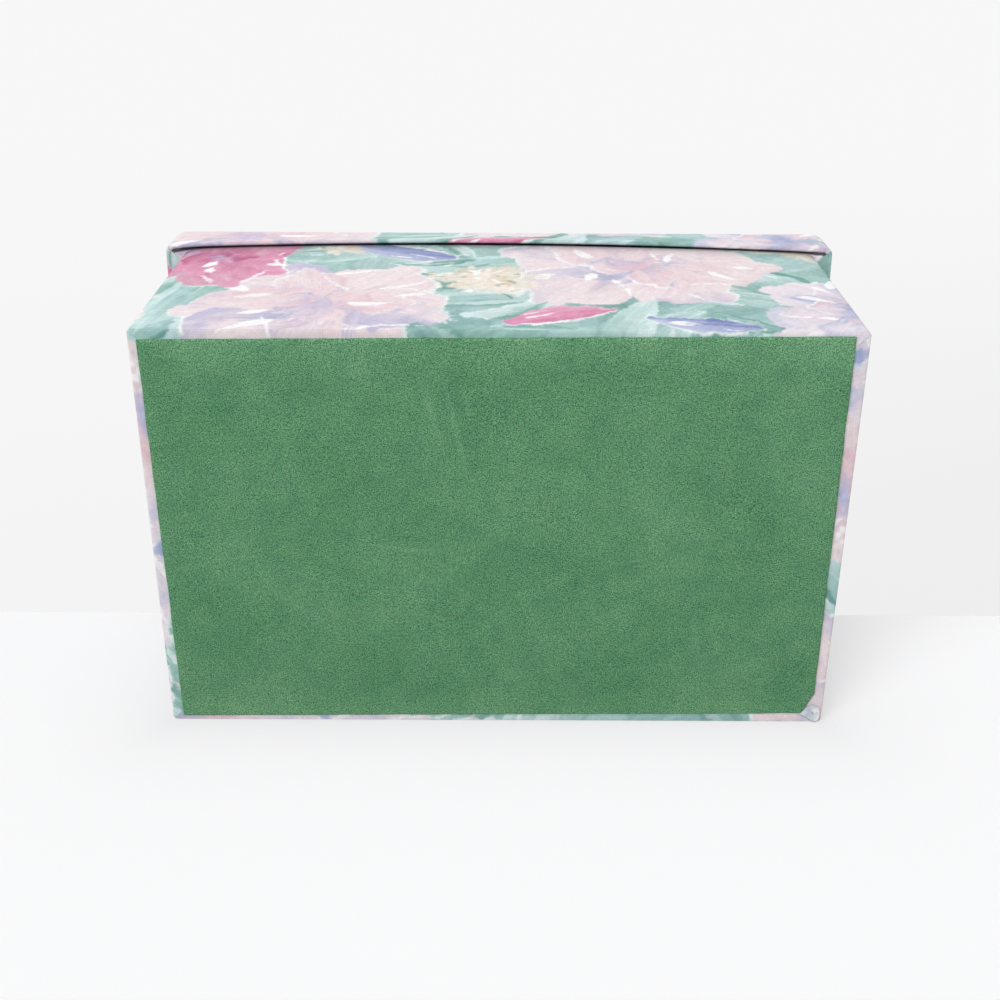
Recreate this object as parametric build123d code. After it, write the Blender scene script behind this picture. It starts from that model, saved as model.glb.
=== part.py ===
from build123d import *
import os
from math import acos, atan2, cos, degrees, hypot, pi, radians, sin

# Fabric-covered jewelry chest: a box of boards wrapped in cloth, a padded lid on two stop
# hinges, a half-width ring tray that slides on two ledges, and a felt pad under the base.
# Millimetres. +X runs along the chest, -Y is its front and +Z is up. The origin is the
# centre of the body's footprint, on the surface that the chest stands on.

# Body, over its cloth
body_width = 241.3
body_depth = 152.4
body_height = 89.0
corner_radius = 1.5
front_bow = 2.9
side_bow = 1.2

# Cloth wrap
cloth = 0.6
base_turn_in = 15.0
rim_turn_in = 12.0

# Felt pad under the base, glued on a little askew, with one corner cut off
felt_thickness = 1.2
felt_end_margin = 4.0
felt_side_margin = 2.8
felt_offset_x = -0.45
felt_offset_y = -0.6
felt_turn = -0.5
felt_clip_x = 4.3
felt_clip_y = 9.0
fold_margin = 0.8
fold_points = ((0, 0), (0, -7.5), (-2.5, -7.5), (-5.5, -4.5), (-3.85, -2.25))

# Boards and batting of the body
wall_thickness = 5.0
bottom_thickness = 3.0
batting = 1.0

# Lining of the body
lining_thickness = 1.6
lining_drop = 0.4
ledge_width = 4.0
ledge_height = 5.0
ledge_below_rim = 34.0

# Tray
tray_width = 112.0
tray_side_gap = 0.8
tray_end_gap = 1.0
tray_lift = 0.3
tray_below_rim = 3.0
tray_wall = 3.0
tray_floor_thickness = 2.0
divider_thickness = 2.5
divider_below_wall = 7.0
ring_roll_count = 5
ring_roll_diameter = 11.0
ring_roll_gap = 0.5
ring_roll_flat = 0.6
ring_roll_end_gap = 0.4

# Lid: how far it stands out at its widest, and the padded roll round its edge
lid_gap = 0.6
lid_side_reach = 8.5
lid_front_reach = 4.2
lid_back_reach = 1.2
lid_roll = 2.8
lid_back_roll = 1.2
lid_bow = 2.4
lid_corner_radius = 4.0
roll_height = 9.0
edge_height = 7.0
shoulder_inset = 9.0
shoulder_height = 11.0
crown_depth = 36.0
crown_corner_radius = 14.0
crown_height = 3.5
roll_turns = (-55, -25, 0)
shoulder_turns = (0, 25, 50, 75)
crown_shares = (0.05, 0.4, 1.0)
lid_turn_in = 10.0

# Boards, batting and lining of the lid
rail_thickness = 6.0
rail_height = 15.0
panel_thickness = 3.0
lid_batting = 1.0
lid_back_batting = 0.4
lid_lining_thickness = 1.6
rail_lining_thickness = 1.2
mirror_end_margin = 33.75
mirror_side_margin = 23.6
mirror_thickness = 2.5
mirror_gap = 0.3
trim_width = 4.0
trim_thickness = 1.2

# Stop hinges
hinge_from_end = 45.65
knuckle_count = 5
knuckle_length = 5.0
knuckle_gap = 0.1
knuckle_radius = 1.5
pin_radius = 0.8
pin_clearance = 0.05
pin_head_radius = 1.2
pin_head_length = 0.5
leaf_thickness = 0.9
leaf_depth = 6.0
leaf_gap = 0.1
barrel_gap = 0.15
stop_plate_height = 6.0
stop_angle = 101.0
lug_reach = 2.4
lug_thickness = 1.0
screw_spacing = 15.0
screw_inset = 3.1
screw_length = 8.0
screw_radius = 1.0
screw_head_radius = 1.8
screw_clearance = 0.03
slot_width = 0.5
slot_depth = 0.4

# Levels and faces that follow from the sizes above
base_z = felt_thickness
rim_z = base_z + body_height
front_face = -body_depth / 2
back_face = body_depth / 2
card_x = (base_turn_in - body_width / 2, body_width / 2 - base_turn_in)
card_y = (front_face + base_turn_in, back_face - base_turn_in)
felt_x = body_width / 2 - felt_end_margin
felt_y = body_depth / 2 - felt_side_margin
board_z = base_z + cloth
bottom_top = board_z + bottom_thickness
wall_top = rim_z - cloth
wall_x = body_width / 2 - cloth - batting
wall_front = front_face + cloth + batting
wall_back = back_face - cloth
well_x = wall_x - wall_thickness
well_front = wall_front + wall_thickness
well_back = wall_back - wall_thickness
inner_x = well_x - lining_thickness
inner_front = well_front + lining_thickness
inner_back = well_back - lining_thickness
floor_z = bottom_top + lining_thickness
ledge_z = rim_z - ledge_below_rim
lid_z = rim_z + lid_gap
frame_x = body_width / 2 + lid_side_reach - lid_roll - cloth - lid_batting
frame_front = front_face - lid_front_reach + lid_roll + cloth + lid_batting
frame_back = back_face + lid_back_reach - lid_back_roll - cloth - lid_back_batting
crown_inset = (body_depth + lid_front_reach + lid_back_reach - crown_depth) / 2 - shoulder_inset
rail_z = lid_z + cloth
panel_z = rail_z + rail_height
panel_top = panel_z + panel_thickness
recess_x = frame_x - rail_thickness
recess_front = frame_front + rail_thickness
recess_back = frame_back - rail_thickness
pin_y = back_face + leaf_thickness + barrel_gap + knuckle_radius
pin_z = rim_z + lid_gap / 2
leaf_front = back_face - leaf_depth
body_leaf_z = (pin_z - leaf_gap / 2 - leaf_thickness, pin_z - leaf_gap / 2)
lid_leaf_z = (pin_z + leaf_gap / 2, pin_z + leaf_gap / 2 + leaf_thickness)
hinge_length = knuckle_count * knuckle_length
hinge_centres = (hinge_from_end - body_width / 2, body_width / 2 - hinge_from_end)


upwards = (Align.CENTER, Align.CENTER, Align.MIN)
downwards = (Align.CENTER, Align.CENTER, Align.MAX)


def block(x, y, z):
    """Box between a pair of coordinates along each axis."""
    size = [high - low for low, high in (x, y, z)]
    return Pos(x[0], y[0], z[0]) * Box(*size, align=(Align.MIN, Align.MIN, Align.MIN))


def frame(x, y, z, thickness):
    """Four-sided ring just inside a footprint."""
    hole_x = (x[0] + thickness, x[1] - thickness)
    hole_y = (y[0] + thickness, y[1] - thickness)
    return block(x, y, z) - block(hole_x, hole_y, z)


def rod(x, y, z, radius):
    """Round bar along X."""
    return Pos(x[0], y, z) * Rot(Y=90) * Cylinder(radius, x[1] - x[0], align=upwards)


def side(start, middle, end, bow):
    """One side of an outline: an arc where it bows, otherwise a straight line."""
    return ThreePointArc(start, middle, end) if bow > 0 else Line(start, end)


def outline(half_width, front, back, level, radius, bow_front=0.0, bow_side=0.0):
    """Rounded rectangle at one level, whose front and ends may bow outwards."""
    middle = (front + back) / 2
    edges = [
        side((-half_width, front), (0, front - bow_front), (half_width, front), bow_front),
        side((half_width, front), (half_width + bow_side, middle), (half_width, back), bow_side),
        Line((half_width, back), (-half_width, back)),
        side((-half_width, back), (-half_width - bow_side, middle), (-half_width, front), bow_side),
    ]
    return Pos(0, 0, level) * fillet(make_face(edges).vertices(), radius)


def body_form(inset):
    """Outer form of the body, drawn in by an even thickness. Its open rim bows outwards."""
    half_width = body_width / 2 - inset
    front, back = front_face + inset, back_face - inset
    radius = corner_radius - inset
    low = outline(half_width, front, back, base_z + inset, radius)
    high = outline(half_width, front, back, rim_z - inset, radius, front_bow, side_bow)
    return loft([low, high], ruled=True)


def lid_profile():
    """Edge of the lid from its lower edge to its crown: share of roll, inset, height and normal."""
    points = [(1.0, 0.0, 0.0, 1.0, -1.0)]
    for turn in roll_turns:
        out, up = cos(radians(turn)), sin(radians(turn))
        points.append((1 - out, 0.0, roll_height * (1 + up), out, up))
    shoulder_z = roll_height + edge_height
    for turn in shoulder_turns:
        out, up = cos(radians(turn)), sin(radians(turn))
        points.append((0.0, shoulder_inset * (1 - out), shoulder_z + shoulder_height * up, out, up))
    for share in crown_shares:
        height = shoulder_z + shoulder_height + crown_height * sin(share * pi / 2)
        points.append((0.0, shoulder_inset + crown_inset * share, height, 0.0, 1.0))
    return points


def lid_form(inset):
    """Outer form of the padded lid, drawn in by an even thickness."""
    sections = []
    for roll, lean, height, out, up in lid_profile():
        shrink = lean + inset * out
        half_width = body_width / 2 + lid_side_reach - lid_roll * roll - shrink
        front = front_face - lid_front_reach + lid_roll * roll + shrink
        back = back_face + lid_back_reach - lid_back_roll * roll - shrink
        growth = (crown_corner_radius - lid_corner_radius) * lean / (shoulder_inset + crown_inset)
        radius = lid_corner_radius + growth - inset
        level = lid_z + height - inset * up
        sections.append(outline(half_width, front, back, level, radius, lid_bow * roll))
    return loft(sections, ruled=True)


def screw(point_up):
    """Countersunk wood screw with a slot. Its head's face is at the origin."""
    head = Cone(screw_radius, screw_head_radius, leaf_thickness, align=downwards)
    shank = Cylinder(screw_radius, screw_length, align=downwards)
    across = (-screw_head_radius, screw_head_radius)
    slot = block(across, (-slot_width / 2, slot_width / 2), (-slot_depth, 0))
    solid = head + shank - slot
    return Rot(X=180) * solid if point_up else solid


def screw_hole(point_up):
    """Room for one screw, through a leaf and into the board behind it."""
    wide = screw_head_radius + screw_clearance
    narrow = screw_radius + screw_clearance
    head = Cone(narrow, wide, leaf_thickness, align=downwards)
    shank = Cylinder(narrow, screw_length + screw_clearance, align=downwards)
    solid = head + shank
    return Rot(X=180) * solid if point_up else solid


def screw_places(centre_x, level):
    """Places of the two screws of one leaf."""
    steps = (-screw_spacing / 2, screw_spacing / 2)
    return [Pos(centre_x + step, back_face - screw_inset, level) for step in steps]


def knuckle_span(centre_x, index):
    """Stretch of X that one knuckle of a hinge fills."""
    start = centre_x - hinge_length / 2 + index * knuckle_length
    return start + knuckle_gap / 2, start + knuckle_length - knuckle_gap / 2


def leaf_span(centre_x):
    """Stretch of X that a leaf fills."""
    half = (hinge_length - knuckle_gap) / 2
    return centre_x - half, centre_x + half


def pin_bore(centre_x):
    """Bore through every knuckle of a hinge."""
    span = (centre_x - hinge_length, centre_x + hinge_length)
    return rod(span, pin_y, pin_z, pin_radius + pin_clearance)


def body_leaf(centre_x):
    """Leaf on the rim, with a plate down the back that the lid's lugs come to rest on."""
    span = leaf_span(centre_x)
    leaf = block(span, (leaf_front, back_face + leaf_thickness), body_leaf_z)
    plate_z = (rim_z - stop_plate_height, body_leaf_z[1])
    leaf += block(span, (back_face, back_face + leaf_thickness), plate_z)
    for index in range(0, knuckle_count, 2):
        piece = knuckle_span(centre_x, index)
        leaf += block(piece, (back_face, pin_y), body_leaf_z)
        leaf += rod(piece, pin_y, pin_z, knuckle_radius)
    for place in screw_places(centre_x, body_leaf_z[1]):
        leaf -= place * screw_hole(False)
    return leaf - pin_bore(centre_x)


def lug_angle():
    """Direction of a lug when the lid is shut, so that it meets the stop plate at stop_angle."""
    corner = degrees(atan2(lug_thickness / 2, lug_reach))
    to_plate = (knuckle_radius + barrel_gap) / hypot(lug_thickness / 2, lug_reach)
    return stop_angle + corner - 180 + degrees(acos(to_plate))


def lid_leaf(centre_x):
    """Leaf under the lid, with a stop lug on each of its knuckles."""
    leaf = block(leaf_span(centre_x), (leaf_front, back_face), lid_leaf_z)
    half_lug = lug_thickness / 2
    for index in range(1, knuckle_count, 2):
        piece = knuckle_span(centre_x, index)
        leaf += block(piece, (back_face - leaf_gap, pin_y), lid_leaf_z)
        leaf += rod(piece, pin_y, pin_z, knuckle_radius)
        lug = block(piece, (0, lug_reach), (-half_lug, half_lug))
        leaf += Pos(0, pin_y, pin_z) * Rot(X=lug_angle()) * lug
    for place in screw_places(centre_x, lid_leaf_z[0]):
        leaf -= place * screw_hole(True)
    return leaf - pin_bore(centre_x)


def hinge_pin(centre_x):
    """Pin through the knuckles, with a head at each end."""
    low, high = centre_x - hinge_length / 2, centre_x + hinge_length / 2
    pin = rod((low - pin_head_length, high + pin_head_length), pin_y, pin_z, pin_radius)
    for start in (low - pin_head_length, high):
        pin += rod((start, start + pin_head_length), pin_y, pin_z, pin_head_radius)
    return pin


def leaf_recess(centre_x, levels):
    """Shallow cut that lets a leaf into the cloth and the board behind it."""
    low, high = leaf_span(centre_x)
    return block((low, high), (leaf_front, pin_y), levels)


def wrap_turn_in(half_width, front, back, levels):
    """Edge of the cloth that is turned over a rim and glued down inside it."""
    return frame((-half_width, half_width), (front, back), levels, cloth)


def make_base():
    """Felt pad, card, bottom board and the loose fold at one corner of the underside."""
    felt = block((-felt_x, felt_x), (-felt_y, felt_y), (0, felt_thickness))
    corner = Polyline(
        (felt_x - felt_clip_x, felt_y),
        (felt_x, felt_y),
        (felt_x, felt_y - felt_clip_y),
        close=True,
    )
    felt -= extrude(make_face(corner), felt_thickness)
    felt = Pos(felt_offset_x, felt_offset_y, 0) * Rot(Z=felt_turn) * felt
    card = block(card_x, card_y, (base_z, board_z))
    bottom = block((-wall_x, wall_x), (wall_front, wall_back), (board_z, bottom_top)) & body_form(cloth)
    tip = Pos(body_width / 2 - fold_margin, back_face - fold_margin, base_z - cloth)
    fold = tip * extrude(make_face(Polyline(*fold_points, close=True)), cloth) - felt
    return {"felt_base_pad": felt, "base_card": card, "bottom_board": bottom, "corner_fold": fold}


def make_walls():
    """Four wall boards on the bottom board, and the batting over the front and the ends."""
    form = body_form(cloth)
    height = (bottom_top, wall_top)
    between = (well_front, well_back)
    walls = {
        "front_board": block((-wall_x, wall_x), (wall_front, well_front), height),
        "back_board": block((-wall_x, wall_x), (well_back, wall_back), height) & form,
        "left_board": block((-wall_x, -well_x), between, height),
        "right_board": block((well_x, wall_x), between, height),
    }
    for centre_x in hinge_centres:
        walls["back_board"] -= leaf_recess(centre_x, (body_leaf_z[0], wall_top))
        for place in screw_places(centre_x, body_leaf_z[1]):
            walls["back_board"] -= place * screw_hole(False)
    full = (board_z, wall_top)
    far = body_width
    walls["front_batting"] = form & block((-far, far), (-far, wall_front), full)
    walls["left_batting"] = form & block((-far, -wall_x), (wall_front, far), full)
    walls["right_batting"] = form & block((wall_x, far), (wall_front, far), full)
    return walls


def make_body_cover():
    """Cloth wrapped round the body, turned under its base and down inside its rim."""
    cover = body_form(0) - body_form(cloth)
    mouth_x, mouth_y = well_x - cloth, (well_front + cloth, well_back - cloth)
    cover -= block((-mouth_x, mouth_x), mouth_y, (wall_top - cloth, rim_z + cloth))
    cover -= block(card_x, card_y, (base_z, board_z))
    cover += wrap_turn_in(well_x, well_front, well_back, (rim_z - rim_turn_in, wall_top))
    for centre_x in hinge_centres:
        cover -= leaf_recess(centre_x, (body_leaf_z[0], rim_z + cloth))
    return cover


def make_linings():
    """Lined panels inside the body, and the two ledges that the tray slides on."""
    turn_in = wrap_turn_in(well_x, well_front, well_back, (rim_z - rim_turn_in, wall_top))
    height = (floor_z, wall_top - lining_drop)
    ledge = (ledge_z - ledge_height, ledge_z)
    across = (-well_x, well_x)
    return {
        "floor_lining": block(across, (well_front, well_back), (bottom_top, floor_z)),
        "front_lining": block(across, (well_front, inner_front), height) - turn_in,
        "back_lining": block(across, (inner_back, well_back), height) - turn_in,
        "left_lining": block((-well_x, -inner_x), (inner_front, inner_back), height) - turn_in,
        "right_lining": block((inner_x, well_x), (inner_front, inner_back), height) - turn_in,
        "front_ledge": block((-inner_x, inner_x), (inner_front, inner_front + ledge_width), ledge),
        "back_ledge": block((-inner_x, inner_x), (inner_back - ledge_width, inner_back), ledge),
    }


def make_tray():
    """Half-width tray with ring rolls across its front and two compartments behind them."""
    left = -inner_x + tray_end_gap
    right = left + tray_width
    front, back = inner_front + tray_side_gap, inner_back - tray_side_gap
    low, high = ledge_z + tray_lift, rim_z - tray_below_rim
    top = low + tray_floor_thickness
    clear_x = (left + tray_wall, right - tray_wall)
    clear_y = (front + tray_wall, back - tray_wall)
    roll_step = ring_roll_diameter + ring_roll_gap
    rolls_depth = ring_roll_count * roll_step + ring_roll_gap
    rolls_back = front + tray_wall + rolls_depth
    divider_back = rolls_back + divider_thickness
    divider_z = (top, high - divider_below_wall)
    middle = (left + right) / 2
    half_divider = divider_thickness / 2
    tray = {
        "tray_floor": block((left, right), (front, back), (low, top)),
        "tray_front_wall": block((left, right), (front, front + tray_wall), (top, high)),
        "tray_back_wall": block((left, right), (back - tray_wall, back), (top, high)),
        "tray_left_wall": block((left, left + tray_wall), clear_y, (top, high)),
        "tray_right_wall": block((right - tray_wall, right), clear_y, (top, high)),
        "tray_long_divider": block(clear_x, (rolls_back, divider_back), divider_z),
        "tray_short_divider": block(
            (middle - half_divider, middle + half_divider), (divider_back, back - tray_wall), divider_z
        ),
    }
    radius = ring_roll_diameter / 2
    roll_x = (clear_x[0] + ring_roll_end_gap, clear_x[1] - ring_roll_end_gap)
    for index in range(ring_roll_count):
        centre = front + tray_wall + ring_roll_gap + radius + index * roll_step
        roll = rod(roll_x, centre, top + radius - ring_roll_flat, radius)
        roll &= block(roll_x, (centre - radius, centre + radius), (top, top + ring_roll_diameter))
        tray[f"ring_roll_{index + 1}"] = roll
    return tray


def make_lid():
    """Lid: a frame of rails under a panel, padded all over and wrapped in cloth."""
    across, deep = (-frame_x, frame_x), (frame_front, frame_back)
    height = (rail_z, panel_z)
    between = (recess_front, recess_back)
    lid = {
        "lid_panel": block(across, deep, (panel_z, panel_top)),
        "lid_front_rail": block(across, (frame_front, recess_front), height),
        "lid_back_rail": block(across, (recess_back, frame_back), height),
        "lid_left_rail": block((-frame_x, -recess_x), between, height),
        "lid_right_rail": block((recess_x, frame_x), between, height),
    }
    form = lid_form(cloth)
    for name in ("lid_panel", "lid_front_rail", "lid_back_rail"):
        lid[name] &= form
    padding = form - block(across, deep, (lid_z, panel_top))
    cover = lid_form(0) - form
    mouth_x, mouth_y = recess_x - cloth, (recess_front + cloth, recess_back - cloth)
    cover -= block((-mouth_x, mouth_x), mouth_y, (lid_z - cloth, rail_z + cloth))
    cover += wrap_turn_in(recess_x, recess_front, recess_back, (rail_z, lid_z + lid_turn_in))
    for centre_x in hinge_centres:
        recess = leaf_recess(centre_x, (lid_z - cloth, lid_leaf_z[1]))
        cover -= recess
        padding -= recess
        lid["lid_back_rail"] -= recess
        for place in screw_places(centre_x, lid_leaf_z[0]):
            lid["lid_back_rail"] -= place * screw_hole(True)
    lid["lid_padding"] = padding
    lid["lid_cover"] = cover
    return lid


def make_lid_inside():
    """Lining inside the lid, the mirror let into it, and the braid round the mirror."""
    middle = (recess_front + recess_back) / 2
    lining_z = panel_z - lid_lining_thickness
    glass_x = recess_x - mirror_end_margin
    glass_y = (recess_back - recess_front) / 2 - mirror_side_margin
    window_x, window_y = glass_x + mirror_gap, glass_y + mirror_gap
    window = block((-window_x, window_x), (middle - window_y, middle + window_y), (lining_z, panel_z))
    lining = block((-recess_x, recess_x), (recess_front, recess_back), (lining_z, panel_z)) - window
    glass_z = panel_z - mirror_thickness
    mirror = block((-glass_x, glass_x), (middle - glass_y, middle + glass_y), (glass_z, panel_z))
    trim_x, trim_y = window_x + trim_width, window_y + trim_width
    trim_z = (lining_z - trim_thickness, lining_z)
    trim = frame((-trim_x, trim_x), (middle - trim_y, middle + trim_y), trim_z, trim_width)
    turn_in = wrap_turn_in(recess_x, recess_front, recess_back, (rail_z, lid_z + lid_turn_in))
    between = (recess_front, recess_back)
    rails = frame((-recess_x, recess_x), between, (rail_z + cloth, lining_z), rail_lining_thickness)
    return {
        "lid_lining": lining,
        "lid_rail_lining": rails - turn_in,
        "lid_mirror": mirror,
        "mirror_trim": trim,
    }


def make_hinges():
    """Both hinges, with the screws of all body leaves and of all lid leaves as two groups."""
    pieces = {}
    body_screws, lid_screws = [], []
    for name, centre_x in zip(("left", "right"), hinge_centres):
        pieces[f"{name}_hinge_body_leaf"] = body_leaf(centre_x)
        pieces[f"{name}_hinge_lid_leaf"] = lid_leaf(centre_x)
        pieces[f"{name}_hinge_pin"] = hinge_pin(centre_x)
        body_screws += [place * screw(False) for place in screw_places(centre_x, body_leaf_z[1])]
        lid_screws += [place * screw(True) for place in screw_places(centre_x, lid_leaf_z[0])]
    pieces["body_leaf_screws"] = Compound(children=body_screws)
    pieces["lid_leaf_screws"] = Compound(children=lid_screws)
    return pieces


nodes = {"body_cover": make_body_cover()}
for group in (make_base, make_walls, make_linings, make_tray, make_lid, make_lid_inside, make_hinges):
    nodes.update(group())

os.makedirs("parts", exist_ok=True)
for name, solid in nodes.items():
    export_step(solid, f"parts/{name}.step")

print("tray travel", round(2 * (inner_x - tray_end_gap) - tray_width, 3))
print("lid axis y, z", round(pin_y, 3), round(pin_z, 3))
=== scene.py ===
import math
from collections import namedtuple

import bmesh
import bpy
import numpy as np
from mathutils import Matrix, Vector


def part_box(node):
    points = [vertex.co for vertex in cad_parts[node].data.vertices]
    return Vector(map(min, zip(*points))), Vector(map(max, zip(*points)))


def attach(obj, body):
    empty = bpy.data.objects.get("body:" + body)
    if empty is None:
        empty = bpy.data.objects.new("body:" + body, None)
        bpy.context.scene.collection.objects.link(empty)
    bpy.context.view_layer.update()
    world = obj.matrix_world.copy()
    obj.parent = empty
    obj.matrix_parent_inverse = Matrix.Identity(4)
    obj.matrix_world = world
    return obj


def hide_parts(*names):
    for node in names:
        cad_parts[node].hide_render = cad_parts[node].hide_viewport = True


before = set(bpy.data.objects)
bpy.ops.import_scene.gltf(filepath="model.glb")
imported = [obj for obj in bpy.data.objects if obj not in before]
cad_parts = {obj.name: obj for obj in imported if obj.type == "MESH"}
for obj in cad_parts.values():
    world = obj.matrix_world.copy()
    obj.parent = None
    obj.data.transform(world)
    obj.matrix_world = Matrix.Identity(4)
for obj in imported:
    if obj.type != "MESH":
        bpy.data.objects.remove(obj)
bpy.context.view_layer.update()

MM = 0.001
rng = np.random.default_rng(7)
between = rng.uniform

# Sizes of the chest in millimetres, as in the part's source
HALF_X, HALF_Y = 120.65, 76.2
BASE_Z, RIM_Z = 1.2, 90.2
LID_Z = 90.8
FRONT_BOW, SIDE_BOW = 4.0, 1.2
MOUTH_X, MOUTH_FRONT, MOUTH_BACK = 113.45, -69.0, 70.0

# Each side's axis, and the way along it that leads outwards
SIDES = {"front": (1, -1), "right": (0, 1), "back": (1, 1), "left": (0, -1)}


# Nodes and materials

def to_linear(value):
    """Linear light of sRGB values from 0 to 1."""
    return np.where(value <= 0.04045, value / 12.92, ((value + 0.055) / 1.055) ** 2.4)


def linear(*colour):
    """Linear colour of an sRGB one given from 0 to 255."""
    return (*to_linear(np.array(colour) / 255).tolist(), 1.0)


class Nodes:
    """Nodes of a material or of the world. What goes into them is a socket or a plain value."""

    def __init__(self, tree):
        self.tree = tree

    def join(self, given, socket):
        if isinstance(given, bpy.types.NodeSocket):
            self.tree.links.new(given, socket)
        else:
            socket.default_value = given

    def add(self, kind, inputs=(), **settings):
        """A new node. inputs are pairs of an input socket, by name or number, and what goes in."""
        node = self.tree.nodes.new("ShaderNode" + kind)
        for key, value in settings.items():
            setattr(node, key, value)
        for socket, given in dict(inputs).items():
            self.join(given, node.inputs[socket])
        return node

    def maths(self, operation, *values):
        return self.add("Math", enumerate(values), operation=operation).outputs[0]

    def plus(self, first, second):
        return self.maths("ADD", first, second)

    def minus(self, first, second):
        return self.maths("SUBTRACT", first, second)

    def times(self, first, second):
        return self.maths("MULTIPLY", first, second)

    def at_least(self, value, least):
        return self.maths("MAXIMUM", value, least)

    def mix(self, share, first, second, blend="MIX"):
        return self.add("Mix", {0: share, 6: first, 7: second}, data_type="RGBA", blend_type=blend).outputs[2]

    def tinted(self, share, colour, tint):
        """The colour multiplied by a tint, at this share."""
        return self.mix(share, colour, tint, "MULTIPLY")

    def ramp(self, value, *stops):
        """Ramp through pairs of place and colour. A single number is a grey."""
        node = self.add("ValToRGB", {0: value})
        elements = node.color_ramp.elements
        while len(elements) < len(stops):
            elements.new(0.5)
        for element, (place, colour) in zip(elements, stops):
            element.position = place
            element.color = (colour,) * 3 + (1,) if isinstance(colour, float) else (*colour[:3], 1)
        return node.outputs[0]

    def noise(self, vector, scale, detail=2.0, roughness=0.5, distortion=0.0):
        return self.add("TexNoise", {"Vector": vector, "Scale": scale, "Detail": detail,
                                     "Roughness": roughness, "Distortion": distortion}).outputs[0]

    def place(self, kind="Object"):
        return self.add("TexCoord").outputs[kind]

    def split(self, vector):
        return self.add("SeparateXYZ", {0: vector}).outputs

    def stored(self, name, output="Color"):
        """What the mesh stores under this name."""
        return self.add("Attribute", attribute_name=name).outputs[output]

    def stretched(self, vector, *scale):
        return self.add("Mapping", {"Vector": vector, "Scale": scale}).outputs[0]

    def weave(self):
        """Height of a plain weave on the flat cloth."""
        pitch = 0.42 * MM
        bands_per_scale = 0.3142
        waves = []
        for direction in "XY":
            inputs = {"Vector": self.flat_cloth(), "Scale": bands_per_scale / pitch / 2, "Distortion": 1.2,
                      "Detail": 2.0, "Detail Scale": 1.5}
            waves.append(self.add("TexWave", inputs, wave_type="BANDS", bands_direction=direction,
                                  wave_profile="SIN").outputs["Fac"])
        return self.times(self.plus(*waves), 0.5)

    def flat_cloth(self):
        return self.add("UVMap", uv_map="cloth").outputs[0]


class Finish(Nodes):
    """One material: its nodes and its shader."""

    def __init__(self, name):
        self.material = bpy.data.materials.new(name)
        self.material.use_nodes = True
        super().__init__(self.material.node_tree)
        self.shader = self.tree.nodes["Principled BSDF"]

    def set(self, **given):
        """Shader sockets, named in small letters with underscores."""
        sockets = {socket.name.lower().replace(" ", "_"): socket for socket in self.shader.inputs}
        for name, value in given.items():
            self.join(value, sockets[name])

    def bump(self, strength, depth, height):
        """Relief that is up to depth millimetres deep."""
        node = self.add("Bump", {"Strength": strength, "Distance": depth * MM, "Height": height})
        self.set(normal=node.outputs[0])


# Stage, lights and camera

def new_object(name, mesh):
    obj = bpy.data.objects.new(name, mesh)
    bpy.context.scene.collection.objects.link(obj)
    return obj


def mesh_object(name, points, faces):
    """Object of these points in millimetres."""
    mesh = bpy.data.meshes.new(name)
    mesh.from_pydata((np.array(points) * MM).tolist(), [], faces)
    return new_object(name, mesh)


def light_under_painted_shadow(finish):
    """Share of the light that is left on the table under a painted soft shadow close round the chest."""
    reach, depth = 22 * MM, 0.12
    x, _, z = finish.split(finish.place())
    beside = finish.at_least(finish.minus(finish.maths("ABSOLUTE", x), HALF_X * MM), 0.0)
    below = finish.at_least(finish.times(z, -1.0), 0.0)
    squares = finish.plus(finish.maths("POWER", beside, 2.0), finish.maths("POWER", below, 2.0))
    near = finish.maths("EXPONENT", finish.times(finish.maths("SQRT", squares), -1 / reach))
    return finish.minus(1.0, finish.times(near, depth))


def one_sided(name, colour, glow=0.0):
    """Pale matt surface that is seen from its front only and lets all light through. The one that glows is
    the table, with a painted shadow of the chest on it."""
    finish = Finish(name)
    if glow:
        # painted shadow of the chest, darkening the table's glow and colour
        light = light_under_painted_shadow(finish)
        finish.set(emission_color=(1, 1, 1, 1), emission_strength=finish.times(light, glow))
        colour = finish.tinted(1.0, colour, light)
    finish.set(base_color=colour, roughness=0.9, specular_ior_level=0.1)
    back = finish.add("NewGeometry").outputs["Backfacing"]
    seen = finish.times(finish.add("LightPath").outputs["Is Camera Ray"], finish.minus(1.0, back))
    clear = finish.add("BsdfTransparent").outputs[0]
    mixed = finish.add("MixShader", {0: seen, 1: clear, 2: finish.shader.outputs[0]})
    finish.join(mixed.outputs[0], finish.tree.nodes["Material Output"].inputs[0])
    return finish.material


def make_stage():
    """Floor under the chest, and the table that its back lies on in the photograph. The table is
    made of narrow slats that face down, so that only a camera below the chest sees it."""
    reach, below_chest = 12000, 0.2
    floor = mesh_object("floor", [(x * reach, y * reach, -below_chest)
                                  for x, y in ((-1, -1), (1, -1), (1, 1), (-1, 1))], [(0, 1, 2, 3)])
    floor.data.materials.append(one_sided("floor_white", (0.9, 0.9, 0.9, 1)))
    half_width, near, pitch, top, bottom = 260, HALF_Y + 0.3, 1.5, 80, -260
    far = near + pitch * 1.3
    points, faces = [], []
    for level in np.arange(bottom, top, pitch):
        faces.append([len(points) + corner for corner in range(4)])
        points += [(-half_width, near, level), (-half_width, far, level), (half_width, far, level),
                   (half_width, near, level)]
    table = mesh_object("table", points, faces)
    table.data.materials.append(one_sided("table_white", (0.6, 0.6, 0.605, 1), glow=0.45))


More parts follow.
